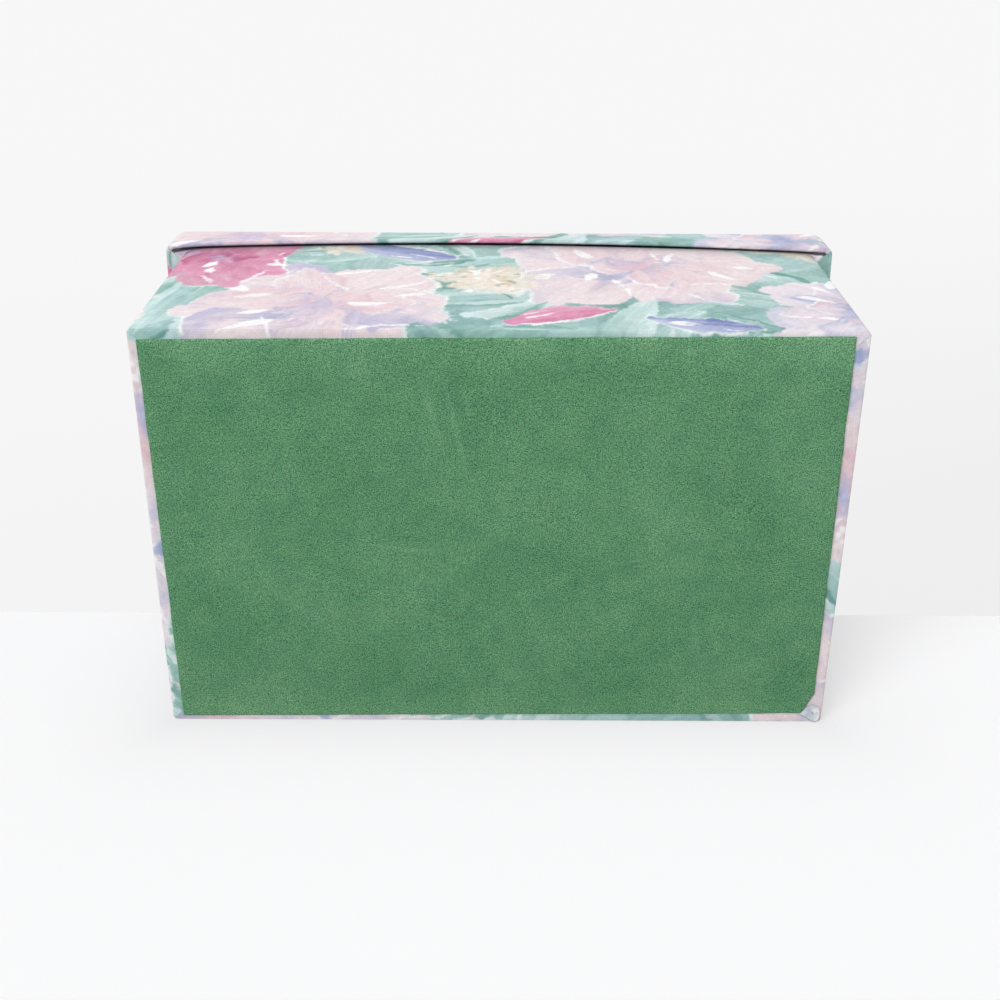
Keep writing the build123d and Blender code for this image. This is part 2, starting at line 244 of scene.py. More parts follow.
def make_world():
    """Even daylight, and a pale backdrop with painted shade that makes it a little darker towards the table
    and its right end.
    """
    world = bpy.data.worlds.new("world")
    bpy.context.scene.world = world
    world.use_nodes = True
    nodes = Nodes(world.node_tree)
    daylight = nodes.tree.nodes["Background"]
    daylight.inputs[0].default_value = (0.515, 0.52, 0.528, 1)
    x, y, _ = nodes.split(nodes.place("Generated"))
    # painted shade: the backdrop darkens downwards, towards the table, and more at its lower right
    down = nodes.ramp(y, (0.2, 0.935), (0.5, 0.9))
    corner = nodes.times(nodes.at_least(nodes.plus(x, 0.1), 0.0), nodes.at_least(nodes.minus(y, 0.2), 0.0))
    painted_corner_shade = nodes.minus(1.0, nodes.maths("MINIMUM", nodes.times(corner, 0.6), 0.05))
    backdrop = nodes.add("Background", {0: nodes.tinted(1.0, down, painted_corner_shade), 1: 1.0})
    seen = nodes.add("LightPath").outputs["Is Camera Ray"]
    mixed = nodes.add("MixShader", {0: seen, 1: daylight.outputs[0], 2: backdrop.outputs[0]})
    nodes.join(mixed.outputs[0], nodes.tree.nodes["World Output"].inputs[0])


def make_lamps():
    # direction towards the lamp, share of full daylight, and softness in degrees
    lamps = (
        ("lamp_front", (-0.45, -0.6, -0.7), 0.52, 40),
        ("lamp_above", (-0.25, -0.45, 0.88), 0.47, 22),
        ("lamp_behind", (0.6, 0.7, 0.4), 0.26, 60),
    )
    for name, way, share, softness in lamps:
        lamp = bpy.data.lights.new(name, "SUN")
        lamp.energy = share * math.pi
        lamp.angle = math.radians(softness)
        new_object(name, lamp).rotation_euler = Vector(way).to_track_quat("Z", "Y").to_euler()


def make_camera():
    """The photograph's camera, as fitted to the corners of the chest."""
    sensor, focal_share = 36, 1.3413
    right = Vector((0.999988, -0.004978, 0.0000347))
    down = Vector((0.004486, 0.897986, -0.440002))
    ahead = Vector((0.002159, 0.439997, 0.897997))
    place = Vector((-0.44, -217.79, -411.69)) * MM
    data = bpy.data.cameras.new("camera")
    data.sensor_width, data.lens = sensor, sensor * focal_share
    data.clip_start, data.clip_end = 0.01, 20
    camera = new_object("camera", data)
    camera.matrix_world = Matrix.Translation(place) @ Matrix((right, -down, -ahead)).transposed().to_4x4()
    bpy.context.scene.camera = camera
    bpy.context.scene.view_settings.view_transform = "Standard"


make_stage()
make_world()
make_lamps()
make_camera()


# Printed cloth: loose flowers and leaves painted stroke by stroke, repeated every TILE

TILE = (330.0, 300.0)
PER_MM = 2.8


def blend(field, rows, columns, down, along):
    """Value between four cells of a field: down and along are the shares of the way to the next."""
    (y0, y1), (x0, x1) = rows, columns
    low = field[y0, x0] * (1 - along) + field[y0, x1] * along
    high = field[y1, x0] * (1 - along) + field[y1, x1] * along
    return low * (1 - down) + high * down


class Canvas:
    """Painting in memory. It wraps round, so that it repeats like printed cloth."""

    def __init__(self):
        self.width, self.height = int(TILE[0] * PER_MM), int(TILE[1] * PER_MM)
        self.paint = np.zeros((self.height, self.width, 3))
        self.brush = np.zeros((self.height, self.width, 3))
        self.bristles = rng.random(4096)
        self.fine, self.medium = self.cloud(0.7), self.cloud(3.0)
        # moves the random numbers on to the layout that was chosen
        rng.standard_normal((self.height, self.width))

    def cloud(self, size):
        """Smooth random field that wraps round, with spots of this size in millimetres."""
        x = np.fft.fftfreq(self.width)[None, :] * PER_MM
        y = np.fft.fftfreq(self.height)[:, None] * PER_MM
        shape = np.exp(-0.5 * (math.pi * size) ** 2 * (x ** 2 + y ** 2))
        field = np.fft.ifft2(np.fft.fft2(rng.standard_normal((self.height, self.width))) * shape).real
        return field / field.std()

    def window(self, low, high):
        """Cells between two corners, and their places in millimetres."""
        x = np.arange(math.floor(low[0] * PER_MM), math.ceil(high[0] * PER_MM) + 1)
        y = np.arange(math.floor(low[1] * PER_MM), math.ceil(high[1] * PER_MM) + 1)
        return np.ix_(y % self.height, x % self.width), np.stack(np.meshgrid(x, y), -1) / PER_MM

    def bristle(self, across, offset, scale):
        place = (across * scale + offset) % (len(self.bristles) - 1)
        whole = place.astype(int)
        part = place - whole
        return self.bristles[whole] * (1 - part) + self.bristles[whole + 1] * part

    @staticmethod
    def nearest(path, spot):
        """Distance of each spot from the path, and its places along and across the path."""
        best = np.full(spot.shape[:2], 1e9)
        along, across = np.zeros_like(best), np.zeros_like(best)
        legs = len(path) - 1
        for index, (a, b) in enumerate(zip(path[:-1], path[1:])):
            ab = b - a
            size = float(ab @ ab)
            t = np.clip(((spot - a) @ ab) / size, 0, 1)
            gap = spot - a - t[..., None] * ab
            far = (gap ** 2).sum(-1)
            nearer = far < best
            best = np.where(nearer, far, best)
            along = np.where(nearer, (index + t) / legs, along)
            aside = (ab[0] * gap[..., 1] - ab[1] * gap[..., 0]) / math.sqrt(size)
            across = np.where(nearer, aside, across)
        return np.sqrt(best), along, across

    def stroke(self, start, bend, end, width, first, last=None, alpha=1.0, edge=0.5, dry=0.0,
               streak=0.05, blunt=0.45, rough=0.25, side=None, patch=0.0):
        """Curved stroke from start to end. bend is how far its middle is off to the left, side the
        colour of its right edge, rough how ragged its outline is and patch how uneven its cover."""
        start, end = np.array(start, float), np.array(end, float)
        last = first if last is None else last
        run = end - start
        length = max(float(np.hypot(*run)), 1e-6)
        middle = (start + end) / 2 + np.array((-run[1], run[0])) / length * bend * 2
        share = np.linspace(0, 1, 5)[:, None]
        path = (1 - share) ** 2 * start + 2 * share * (1 - share) * middle + share ** 2 * end
        margin = width / 2 + 1.5 + edge
        cells, spot = self.window(path.min(0) - margin, path.max(0) + margin)
        far, along, across = self.nearest(path, spot)
        offset = rng.random() * 4000
        fibre, coarse = self.bristle(across, offset, 2.2), self.bristle(across, offset + 900, 0.7)
        half = width / 2 * np.sin(np.pi * np.clip(along, 0.03, 0.97) ** blunt) ** 0.6
        half = half + rough * (self.fine[cells] * 0.6 + self.medium[cells])
        cover = np.clip((half - far) / edge + 0.5, 0, 1)
        if dry:
            cover = cover * np.clip((1.15 - along * dry - fibre * dry) * 2.2, 0, 1)
        if patch:
            cover = cover * np.clip(1 - patch * (0.5 + 0.5 * self.medium[cells]), 0, 1)
        cover = (cover * alpha)[..., None]
        colour = first + (last - first) * along[..., None] ** 1.2
        if side is not None:
            lean = np.clip(0.5 - 0.62 * across / np.maximum(half, 0.5) + 0.16 * self.medium[cells], 0, 1)
            colour = colour + (side - colour) * (lean ** 1.5)[..., None]
        colour = colour + streak * (coarse - 0.5 + 0.6 * (fibre - 0.5))[..., None]
        self.paint[cells] += (colour - self.paint[cells]) * cover
        placed = np.stack((along * length + offset, across + offset, np.ones_like(along)), -1)
        self.brush[cells] = np.where(cover > 0.5, placed, self.brush[cells])

    def read(self, place, field):
        """Field at places given in millimetres, between the nearest four cells."""
        x, y = place[..., 0] * PER_MM, place[..., 1] * PER_MM
        x0, y0 = np.floor(x).astype(int), np.floor(y).astype(int)
        down, along = (y - y0)[..., None], (x - x0)[..., None]
        return blend(field, (y0 % self.height, (y0 + 1) % self.height),
                     (x0 % self.width, (x0 + 1) % self.width), down, along)


def tone(*colour):
    return np.array(colour) / 255


WHITE, MINT, PALE_MINT = tone(249, 248, 248), tone(196, 223, 221), tone(224, 240, 239)
TEAL, DEEP_TEAL, GREY_TEAL = tone(140, 182, 175), tone(104, 154, 147), tone(163, 192, 189)
DARK_TEAL, GROUND = tone(76, 124, 122), tone(158, 193, 189)
BLUSH, PETAL = tone(238, 225, 227), tone(232, 212, 216)
ROSE, DEEP_ROSE = tone(228, 190, 200), tone(212, 158, 178)
MAGENTA, DEEP_MAGENTA, HOT_PINK = tone(206, 116, 156), tone(170, 70, 118), tone(228, 148, 182)
LAVENDER, LILAC = tone(216, 212, 224), tone(193, 188, 213)
PERIWINKLE, DEEP_BLUE = tone(166, 176, 211), tone(124, 134, 186)
CREAM, SAND, OCHRE = tone(238, 228, 214), tone(224, 207, 184), tone(196, 174, 146)

# pale, middle and deep colour of each kind of flower, and the shade in a bloom's petals
PALETTES = {
    "pale": (BLUSH, PETAL, ROSE, LILAC),
    "lilac": (tone(238, 226, 233), LAVENDER, ROSE, PERIWINKLE),
    "magenta": (tone(224, 156, 184), MAGENTA, DEEP_MAGENTA, DEEP_ROSE),
    "pink": (tone(240, 196, 214), HOT_PINK, MAGENTA),
    "blue": (tone(206, 210, 234), PERIWINKLE, DEEP_BLUE),
}
# x and y, radius, kind and turn
BLOOMS = (
    (-152, -4, 36, "pale", 0.4), (-62, 24, 46, "pale", 0.9), (52, 66, 47, "pale", 2.0),
    (-104, 78, 33, "magenta", 0.5), (122, 22, 36, "lilac", 1.4), (-20, 158, 45, "pale", 0.2),
    (96, 152, 36, "magenta", 2.2), (-132, 150, 40, "lilac", 1.7), (30, -62, 44, "pale", 0.9),
    (-96, -62, 37, "magenta", 0.1), (136, -58, 40, "pale", 2.6),
)
# x and y, angle, length and kind
BUDS = (
    (4, 8, 0.35, 36, "pink"), (-18, 74, 2.75, 38, "blue"), (84, 4, 2.9, 34, "blue"),
    (150, 92, 1.2, 30, "pink"), (-66, 108, 0.4, 28, "pink"), (62, 196, 2.9, 30, "pink"),
    (-150, -98, 0.8, 28, "pink"), (48, 116, 2.4, 36, "blue"), (-160, 90, 1.3, 36, "blue"),
    (-42, -86, 0.9, 32, "blue"), (84, -100, 2.5, 34, "blue"), (-20, -24, 2.7, 30, "pink"),
)
# x and y, reach and how many blossoms
CLUSTERS = ((-8, 50, 19, 34), (-146, 40, 16, 26), (100, 96, 15, 24), (-34, -44, 14, 20),
            (78, -16, 14, 20), (-78, 196, 16, 26), (152, 196, 15, 24), (-64, 86, 11, 14))

canvas = Canvas()
stroke = canvas.stroke


def polar(centre, radius, angle):
    return np.array(centre) + radius * np.array((math.cos(angle), math.sin(angle)))


def pick(*colours):
    """A colour between two of those given."""
    a, b = rng.choice(len(colours), 2)
    return colours[a] + (colours[b] - colours[a]) * rng.random()


def any_angle():
    return between(0, 2 * math.pi)


def dab(place, angle, length, width, colour=WHITE):
    """Crisp touch of thick paint that tapers to a point."""
    stroke(place, length * between(-0.12, 0.12), polar(place, length, angle), width, colour, edge=0.4,
           alpha=0.97, blunt=rng.choice((0.45, 0.6, 1.7)), streak=0.02, rough=0.15)


def leaf(place, angle, length, width, dark, light):
    """Broad leaf, pale on one side, with a few streaks along it."""
    end = polar(place, length, angle)
    bend = length * between(-0.16, 0.16)
    if rng.random() < 0.5:
        shadow = polar(place, width * 0.16, angle + rng.choice((-1.6, 1.6)))
        stroke(shadow, bend, end, width * 1.04, pick(DEEP_TEAL, DARK_TEAL, TEAL), alpha=0.75, blunt=0.62,
               rough=0.3)
    stroke(place, bend, end, width, dark, light, side=pick(light, PALE_MINT, MINT), blunt=0.62, alpha=0.95,
           rough=0.35)
    side = polar((0, 0), width * 0.24, angle + math.pi / 2)
    for turn in (-1, 0.2, 1):
        shade = pick(dark, light, GREY_TEAL, DEEP_TEAL)
        stroke(place + side * turn, bend, end + side * turn * 0.3, width * between(0.16, 0.4), shade,
               pick(light, MINT, GREY_TEAL), alpha=0.6, dry=0.75, streak=0.1, patch=0.4)
    for _ in range(3):
        a = np.array(place) + (end - place) * between(0.05, 0.5) + side * between(-1.6, 1.6)
        b = a + (end - place) * between(0.25, 0.5)
        stroke(a, bend * 0.4, b, between(0.6, 2.0), pick(MINT, PALE_MINT, WHITE, DEEP_TEAL), alpha=0.7,
               dry=0.7)


def petal(base, angle, length, width, pale, mid, shade, rims):
    """Wide soft petal: its body, veils of paler and deeper paint over it, and touches of white. rims
    is how likely its white rims are."""
    end = polar(base, length, angle)
    bend = length * between(-0.13, 0.13)
    if rng.random() < rims:
        lift = polar((0, 0), between(0.8, 2.2), angle + between(-1.6, 1.6))
        stroke(base + lift, bend, end + lift, width, WHITE, alpha=0.9, blunt=1.35, rough=0.6, patch=0.3)
    stroke(base, bend, end, width, mid, pale, side=pick(pale, shade, mid), streak=0.03, blunt=1.35, edge=0.7,
           rough=0.38)
    across = polar((0, 0), width, angle + math.pi / 2)
    for _ in range(6):
        step = between(-0.38, 0.38)
        a = base + across * step * 0.5 + (end - base) * between(0, 0.35)
        b = base + (end - base) * between(0.6, 0.98) + across * step
        tones = pick(mid, pale, pale), pick(pale, pale, BLUSH, mid)
        stroke(a, bend, b, width * between(0.14, 0.36), *tones, alpha=0.5, dry=0.45, blunt=1.0, edge=2.4,
               patch=0.5)
    for _ in range(3):
        step = between(-0.45, 0.45)
        a = base + across * step * 0.35 - (end - base) * 0.05
        b = base + (end - base) * between(0.35, 0.8) + across * step * 0.9
        stroke(a, bend, b, width * between(0.14, 0.34), pick(shade, shade, mid), pick(mid, shade, pale),
               alpha=0.7, dry=0.6, streak=0.1, edge=1.8, patch=0.5)
    if rng.random() < rims * 0.8:
        step = rng.choice((-0.46, 0.46))
        a = base + (end - base) * between(0.25, 0.5) + across * step * 0.95
        stroke(a, -step * width * 0.12, end + across * step * 0.4, between(1.2, 2.6), WHITE, alpha=0.9,
               dry=0.55, rough=0.3)


def bloom(centre, radius, pale, mid, deep, shade, turn):
    """Large loose flower: wide outer petals, then smaller and deeper ones, shadows and white touches."""
    # number of petals, where they start and end, how wide and how deep in colour they are
    rows = ((6, 0.5, 1.0, 0.8, 0.0), (4, 0.24, 0.72, 0.56, 0.35), (3, 0.04, 0.42, 0.4, 0.7))
    for count, inside, outside, wide, depth in rows:
        for index in rng.permutation(count):
            angle = turn + (index + between(-0.25, 0.25)) * 2 * math.pi / count + depth * 2
            base = polar(centre, radius * inside * 0.4, angle + between(-0.5, 0.5))
            length = radius * outside * between(0.82, 1.05) - radius * inside * 0.3
            petal(base, angle, length, radius * wide * between(0.85, 1.2), pale + (mid - pale) * depth * 0.6,
                  mid + (deep - mid) * depth, shade, 0.7 - 0.6 * depth)
        for _ in range(3):
            angle = any_angle()
            a = polar(centre, radius * inside * 0.7, angle)
            b = polar(centre, radius * outside * between(0.6, 0.85), angle + between(-0.9, 0.9))
            stroke(a, radius * between(-0.15, 0.15), b, radius * between(0.12, 0.26),
                   pick(shade, deep, PERIWINKLE), pick(shade, mid, PERIWINKLE), alpha=0.8, dry=0.75,
                   streak=0.12, edge=1.1, patch=0.3)
    for _ in range(6):
        angle = any_angle()
        a, b = polar(centre, radius * 0.08, angle), polar(centre, radius * between(0.2, 0.34), angle + 0.9)
        stroke(a, radius * 0.05, b, radius * between(0.05, 0.12), pick(deep, shade), pick(mid, pale),
               alpha=0.75, dry=0.4, edge=0.9)
    for _ in range(7):
        angle = any_angle()
        place = polar(centre, radius * between(0.2, 0.75), angle)
        dab(place, angle + between(-0.7, 0.7), radius * between(0.14, 0.4), radius * between(0.05, 0.15))


def bud(place, angle, length, pale, mid, deep):
    """Slim bud between two leaves, with white edges and streaks along it."""
    end = polar(place, length, angle)
    width = length * 0.36
    for turn in (-0.5, 0.5):
        leaf(polar(place, -length * 0.2, angle), angle + turn, length * 0.8, width * 0.55, DEEP_TEAL, TEAL)
    for _ in range(2):
        lift = polar((0, 0), between(0.3, 1.0), between(0, 6.3))
        stroke(place + lift, length * 0.06, end + lift, width + 1.2, WHITE, alpha=0.85, blunt=0.85, rough=0.5,
               patch=0.4)
    stroke(place, length * 0.06, end, width, mid, pale, side=deep, streak=0.08, blunt=0.85, rough=0.35)
    side = polar((0, 0), width, angle + math.pi / 2)
    for step in (-0.3, -0.12, 0.1, 0.28):
        stroke(place + side * step * 0.5, length * 0.05, end + side * step * 0.6, width * between(0.12, 0.28),
               pick(deep, mid), pick(mid, pale), alpha=0.6, dry=0.7, streak=0.12, edge=0.8)
    for _ in range(3):
        a = place + (end - place) * between(0.1, 0.6) + side * between(-0.4, 0.4)
        dab(a, angle + between(-0.2, 0.2), length * between(0.15, 0.4), between(0.8, 2.0))


def cluster(centre, reach, count):
    """Smear of small cream blossoms with a few dark ticks."""
    def near(spread, flat):
        return np.array(centre) + rng.normal(0, spread, 2) * reach * np.array((1.25, flat))

    for _ in range(count):
        place = near(0.4, 0.7)
        angle = rng.normal(0.1, 0.7)
        stroke(place, between(-1.5, 1.5), polar(place, between(7, 16), angle), between(4, 9),
               pick(CREAM, SAND, CREAM), pick(CREAM, WHITE, SAND, BLUSH), alpha=0.8, streak=0.07, dry=0.35,
               edge=0.9, rough=0.6, patch=0.35)
    for _ in range(count // 2):
        dab(near(0.45, 0.8), rng.normal(0, 0.9), between(3, 8), between(1.5, 3.5), pick(WHITE, CREAM))
    for _ in range(count // 2):
        place = near(0.42, 0.7)
        stroke(place, 0.3, polar(place, between(1.5, 4.5), rng.normal(0, 0.7)), between(0.7, 1.5),
               pick(GREY_TEAL, OCHRE, DEEP_TEAL), alpha=0.7, dry=0.3)


def paint_cloth():
    """Ground, leaves, loose strokes, then the flowers over them."""
    canvas.paint[:] = GROUND
    for _ in range(420):
        place = between(0, 1, 2) * TILE
        angle = rng.normal(0.4, 0.8)
        end = polar(place, between(26, 60), angle)
        stroke(place, between(-7, 7), end, between(8, 20), pick(TEAL, GREY_TEAL, MINT, DEEP_TEAL),
               pick(TEAL, MINT, GREY_TEAL), alpha=0.7, dry=0.6, streak=0.09, edge=1.0, rough=0.6, patch=0.3)
    for x, y, radius, _, turn in BLOOMS:
        for step in range(8):
            angle = turn + step * 0.785 + between(-0.3, 0.3)
            place = polar((x, y), radius * between(0.5, 0.85), angle)
            leaf(place, angle + between(-0.6, 0.6), between(36, 62), between(15, 25),
                 pick(DEEP_TEAL, TEAL, GREY_TEAL, TEAL), pick(MINT, PALE_MINT, PALE_MINT, MINT))
    for _ in range(50):
        place = between(0, 1, 2) * TILE
        angle = any_angle()
        stroke(place, between(-4, 4), polar(place, between(10, 26), angle), between(1.2, 3.6),
               pick(PALE_MINT, WHITE, MINT, DARK_TEAL), alpha=0.8, dry=0.85)
    for x, y, reach, count in CLUSTERS:
        cluster((x, y), reach, count)
    for x, y, radius, kind, turn in BLOOMS:
        bloom((x, y), radius, *PALETTES[kind], turn)
    for x, y, angle, length, kind in BUDS:
        bud(np.array((x, y)), angle, length, *PALETTES[kind])
    for x, y, reach, count in CLUSTERS[:3]:
        cluster((x + 6, y - 3), reach * 0.8, count // 2)
    canvas.paint = np.clip(canvas.paint + 0.012 * canvas.fine[..., None], 0, 1)


paint_cloth()


# Meshes made of grids whose shared edges are welded

class Shell:
    """Collects grids of points, with a place on the flat cloth for each, into one mesh."""

    def __init__(self):
        self.points, self.cloth, self.faces, self.painted_shade = [], [], [], []
        self.count = 0

    def grid(self, points, cloth=None, flip=False, painted_shade=1.0):
        """Adds a grid. Without a place on the cloth it lies on it as seen from above."""
        rows, columns = points.shape[:2]
        index = np.arange(rows * columns).reshape(rows, columns) + self.count
        quad = np.stack((index[:-1, :-1], index[:-1, 1:], index[1:, 1:], index[1:, :-1]), -1).reshape(-1, 4)
        self.faces.append(quad[:, ::-1] if flip else quad)
        self.points.append(points.reshape(-1, 3))
        self.cloth.append((points[..., :2] if cloth is None else cloth).reshape(-1, 2))
        self.painted_shade.append(np.broadcast_to(painted_shade, points.shape[:2]).reshape(-1))
        self.count += rows * columns

    def build(self, name, prints=False):
        """Welds the grids into an object. One that prints gets the painting, darkened by its painted shade.
        """
        points, cloth, faces = (np.concatenate(part) for part in (self.points, self.cloth, self.faces))
        weld = 2e-3
        keys = np.round(points / weld).astype(np.int64)
        _, first, where = np.unique(keys, axis=0, return_index=True, return_inverse=True)
        corners = where.reshape(-1)[faces]
        good = (np.diff(np.sort(corners, 1), axis=1) > 0).all(1)
        faces, corners = faces[good].reshape(-1), corners[good]
        mesh = bpy.data.meshes.new(name)
        mesh.vertices.add(len(first))
        mesh.vertices.foreach_set("co", (points[first] * MM).astype(np.float32).ravel())
        mesh.loops.add(corners.size)
        mesh.loops.foreach_set("vertex_index", corners.astype(np.int32).ravel())
        mesh.polygons.add(len(corners))
        mesh.polygons.foreach_set("loop_start", np.arange(0, corners.size, 4, dtype=np.int32))
        mesh.polygons.foreach_set("use_smooth", np.ones(len(corners), bool))
        uv = mesh.uv_layers.new(name="cloth")
        uv.data.foreach_set("uv", (cloth[faces] * MM).astype(np.float32).ravel())
        if prints:
            paint = canvas.read(cloth[faces], canvas.paint) * np.concatenate(self.painted_shade)[faces][:, None]
            self.attribute(mesh, "print", to_linear(paint))
            self.attribute(mesh, "brush", canvas.read(cloth[faces], canvas.brush))
        mesh.update(calc_edges=True)
        mesh.validate()
        return new_object(name, mesh)

    @staticmethod
    def attribute(mesh, name, values):
        layer = mesh.color_attributes.new(name=name, type="FLOAT_COLOR", domain="CORNER")
        full = np.concatenate((values, np.ones((len(values), 1))), 1)
        layer.data.foreach_set("color", full.astype(np.float32).ravel())


# One ring of a surface: a rounded rectangle, the bow of its front and of its ends, and the place of
# the ring on the flat cloth
Ring = namedtuple("Ring", "half front back radius level bow end_bow place", defaults=(0, 0, 0.0))


def between_rings(first, last, share):
    return Ring(*((1 - share) * np.array(first) + share * np.array(last)))


def side_run(half, radius, count):
    """Places along one side of a rounded rectangle, from mitre to mitre: along, and set back."""
    steps = round(count * 0.012) + 2
    turn = np.linspace(-math.pi / 4, 0, steps + 1)[:-1]
    start, setback = radius * np.sin(turn) - (half - radius), radius * (1 - np.cos(turn))
    straight = np.linspace(radius - half, half - radius, count - 2 * steps + 1)
    along = np.concatenate((start, straight, -start[::-1]))
    return along, np.concatenate((setback, np.zeros(len(straight)), setback[::-1]))


def arch(drop, lean, sharp):
    """Bow of a padded edge, as a share of its largest bow. It drops towards the mitres, leans to one
    end and is pulled in sharply at the mitres."""
    def share(along, half):
        place = np.clip(along / half, -1, 1)
        pulled = (1 - drop - lean * place) * np.abs(place) ** sharp
        return np.clip(1 - drop * place ** 2 - lean * place - pulled, 0, None)
    return share


wall_arch, lid_arch = arch(0.6, 0.1, 40), arch(0.885, 0.137, 30)


def side_points(side, along, out, level, middle=0.0):
    """Points on one side, from how far along it they are, how far out from the middle and how high."""
    axis, way = SIDES[side]
    points = np.zeros(np.shape(along) + (3,))
    points[..., axis] = way * out
    points[..., 1 - axis] = middle + along * (way if axis == 0 else -way)
    points[..., 2] = level
    return points


def ring_panels(rings, count_x, count_y, bend=lid_arch):
    """Four side grids of a surface made of rings, each with its places on the flat cloth."""
    panels = {name: ([], []) for name in SIDES}
    for ring in rings:
        middle, deep = (ring.front + ring.back) / 2, (ring.back - ring.front) / 2
        along_x, setback_x = side_run(ring.half, ring.radius, count_x)
        along_y, setback_y = side_run(deep, ring.radius, count_y)
        end = ring.half - setback_y + ring.end_bow * np.clip(1 - (along_y / deep) ** 2, 0, 1)
        front = -ring.front - setback_x + ring.bow * bend(along_x, ring.half)
        # how far along and out each side lies, its middle, and where it starts on the cloth
        sides = (("front", along_x, front, 0, 0), ("right", along_y, end, middle, HALF_X + HALF_Y),
                 ("back", along_x, ring.back - setback_x, 0, 2 * HALF_X + 2 * HALF_Y),
                 ("left", along_y, end, middle, -HALF_X - HALF_Y))
        for name, along, out, centre, start in sides:
            panels[name][0].append(side_points(name, along, out, ring.level, centre))
            panels[name][1].append(np.stack((start + along, np.full_like(along, ring.place)), -1))
    return {name: (np.array(points), np.array(cloth)) for name, (points, cloth) in panels.items()}


def cap_of(panels, index):
    """Grid that fills one ring of the panels, its first or its last."""
    front, right = panels["front"][0][index], panels["right"][0][index]
    back, left = panels["back"][0][index][::-1], panels["left"][0][index][::-1]
    u = np.linspace(0, 1, len(front))[None, :, None]
    v = np.linspace(0, 1, len(right))[:, None, None]
    return ((1 - v) * front[None] + v * back[None] + (1 - u) * left[:, None] + u * right[:, None]
            - (1 - u) * (1 - v) * front[0] - u * (1 - v) * front[-1]
            - (1 - u) * v * back[0] - u * v * back[-1])


def soft_wave(points, size, reach, seed):
    """Gentle unevenness, a sum of a few sine waves. size is the wave length in millimetres."""
    waves = 6
    draw = np.random.default_rng(seed)
    total = np.zeros(points.shape[:-1])
    for _ in range(waves):
        way = draw.normal(size=3)
        way = way / np.linalg.norm(way) * 2 * math.pi / (size * draw.uniform(0.7, 1.6))
        total += np.sin(points @ way + draw.uniform(0, 6.3))
    return total / waves * reach


def share_of(value, start, length):
    """How far a value is past a start, from 0 to 1 over this length."""
    return np.clip((value - start) / length, 0, 1)


def quarter(radius, turns):
    """Steps of a rounded edge: how far it is still out, how far it has come down, and its angle."""
    for angle in np.radians(turns):
        yield radius * (1 - math.sin(angle)), radius * (1 - math.cos(angle)), angle


# Cloth of the body

def body_rings():
    """Rings of the body cloth: turned under the base, up the wall, over the rim and down inside it."""
    turned, corner, fold, lip, hem = 0.25, 1.5, 0.8, 0.9, 0.6
    height = RIM_Z - BASE_Z
    rings = []

    def ring(shrink, level, place, radius=corner):
        share = max(0.0, min(1.0, (level - BASE_Z) / height))
        rings.append(Ring(HALF_X - shrink, -HALF_Y + shrink, HALF_Y - shrink, radius, level,
                          FRONT_BOW * share, SIDE_BOW * share, place))

    for shrink in (15, 11, 8, 7, 6, 5.2, 4.6, 4, 3.4, 2.8, 2.2, 1.6):
        ring(shrink, BASE_Z, -shrink, turned)
    for out, down, angle in quarter(fold, (0, 30, 60, 90)):
        ring(out, BASE_Z + down, fold * (angle - 1))
    for level in np.linspace(BASE_Z + fold + 0.7, RIM_Z - lip - 0.7, 118):
        ring(0, level, level - BASE_Z)
    for out, down, angle in quarter(lip, (0, 22, 45, 68, 90)):
        ring(down, RIM_Z - out, height - lip + lip * angle)
    rim_width = 6.5
    outer = rings[-1]
    inner = Ring(MOUTH_X + hem, MOUTH_FRONT - hem, MOUTH_BACK + hem, 0, RIM_Z)
    for share in (0.2, 0.4, 0.6, 0.8):
        rings.append(between_rings(outer, inner, share)._replace(
            radius=1.0, bow=FRONT_BOW * (1 - share), end_bow=SIDE_BOW * (1 - share),
            place=height + rim_width * share))
    place = height + rim_width + 0.2
    for out, down, angle in quarter(hem, (0, 30, 60, 90)):
        rings.append(Ring(MOUTH_X + out, MOUTH_FRONT - out, MOUTH_BACK + out, 0.3, RIM_Z - down, 0, 0,
                          place + hem * angle))
    for level in np.linspace(88.6, 78.2, 8):
        rings.append(Ring(MOUTH_X, MOUTH_FRONT, MOUTH_BACK, 0.3, level, 0, 0, place + 0.9 + RIM_Z - level))
    return rings


def make_body_cloth(side, points, cloth):
    """Panel of the body cloth on one side, between two mitres."""
    axis, way = SIDES[side]
    level = points[..., 2].copy()
    wave = soft_wave(points, 46, 0.16, 3) + soft_wave(points, 15, 0.04, 4)
    points[..., axis] += way * wave * share_of(level, BASE_Z + 3, 8) * share_of(-level, 3 - RIM_Z, 8)
    if axis == 1:
        # the front and back turn-ins lie over those of the ends at the mitres
        depth = HALF_Y - np.abs(points[..., 1])
        mitre = HALF_X - np.abs(points[..., 0]) - depth
        under = level < BASE_Z + 0.01
        points[..., 2] -= 0.3 * np.exp(-(mitre / 1.6) ** 2) * under * np.clip(depth / 1.5, 0, 1)
    # painted shade: a band of the front just below the rim is darker, as in the shade under the lid's edge
    below = RIM_Z - BASE_Z - 1 - cloth[..., 1]
    edge_band = np.exp(-np.clip(below, 0, None) / 3.5) * np.clip(1 + below / 1.5, 0, 1) * (side == "front")
    shell = Shell()
    shell.grid(points, cloth, painted_shade=1 - 0.3 * edge_band)
    return shell.build(f"body_cloth_{side}", prints=True)


# Cloth of the padded lid

LID_HALF, LID_FRONT, LID_BACK = 127.7, -80.4, HALF_Y + 1.2
LID_MIDDLE, LID_DEEP = (LID_FRONT + LID_BACK) / 2, (LID_BACK - LID_FRONT) / 2
EDGE_TOP = 14.0
CROWN, CROWN_RISE = 61.0, 3.5
SHOULDER, SHOULDER_RISE = 12.0, 13.0
# The roll of the lower edge: how far it draws the front, the ends and the corners in, and its bows
ROLL_FRONT, ROLL_END, ROLL_CORNER, ROLL_BOW, ROLL_END_BOW = 1.5, 0.2, 2.8, 3.05, 1.25


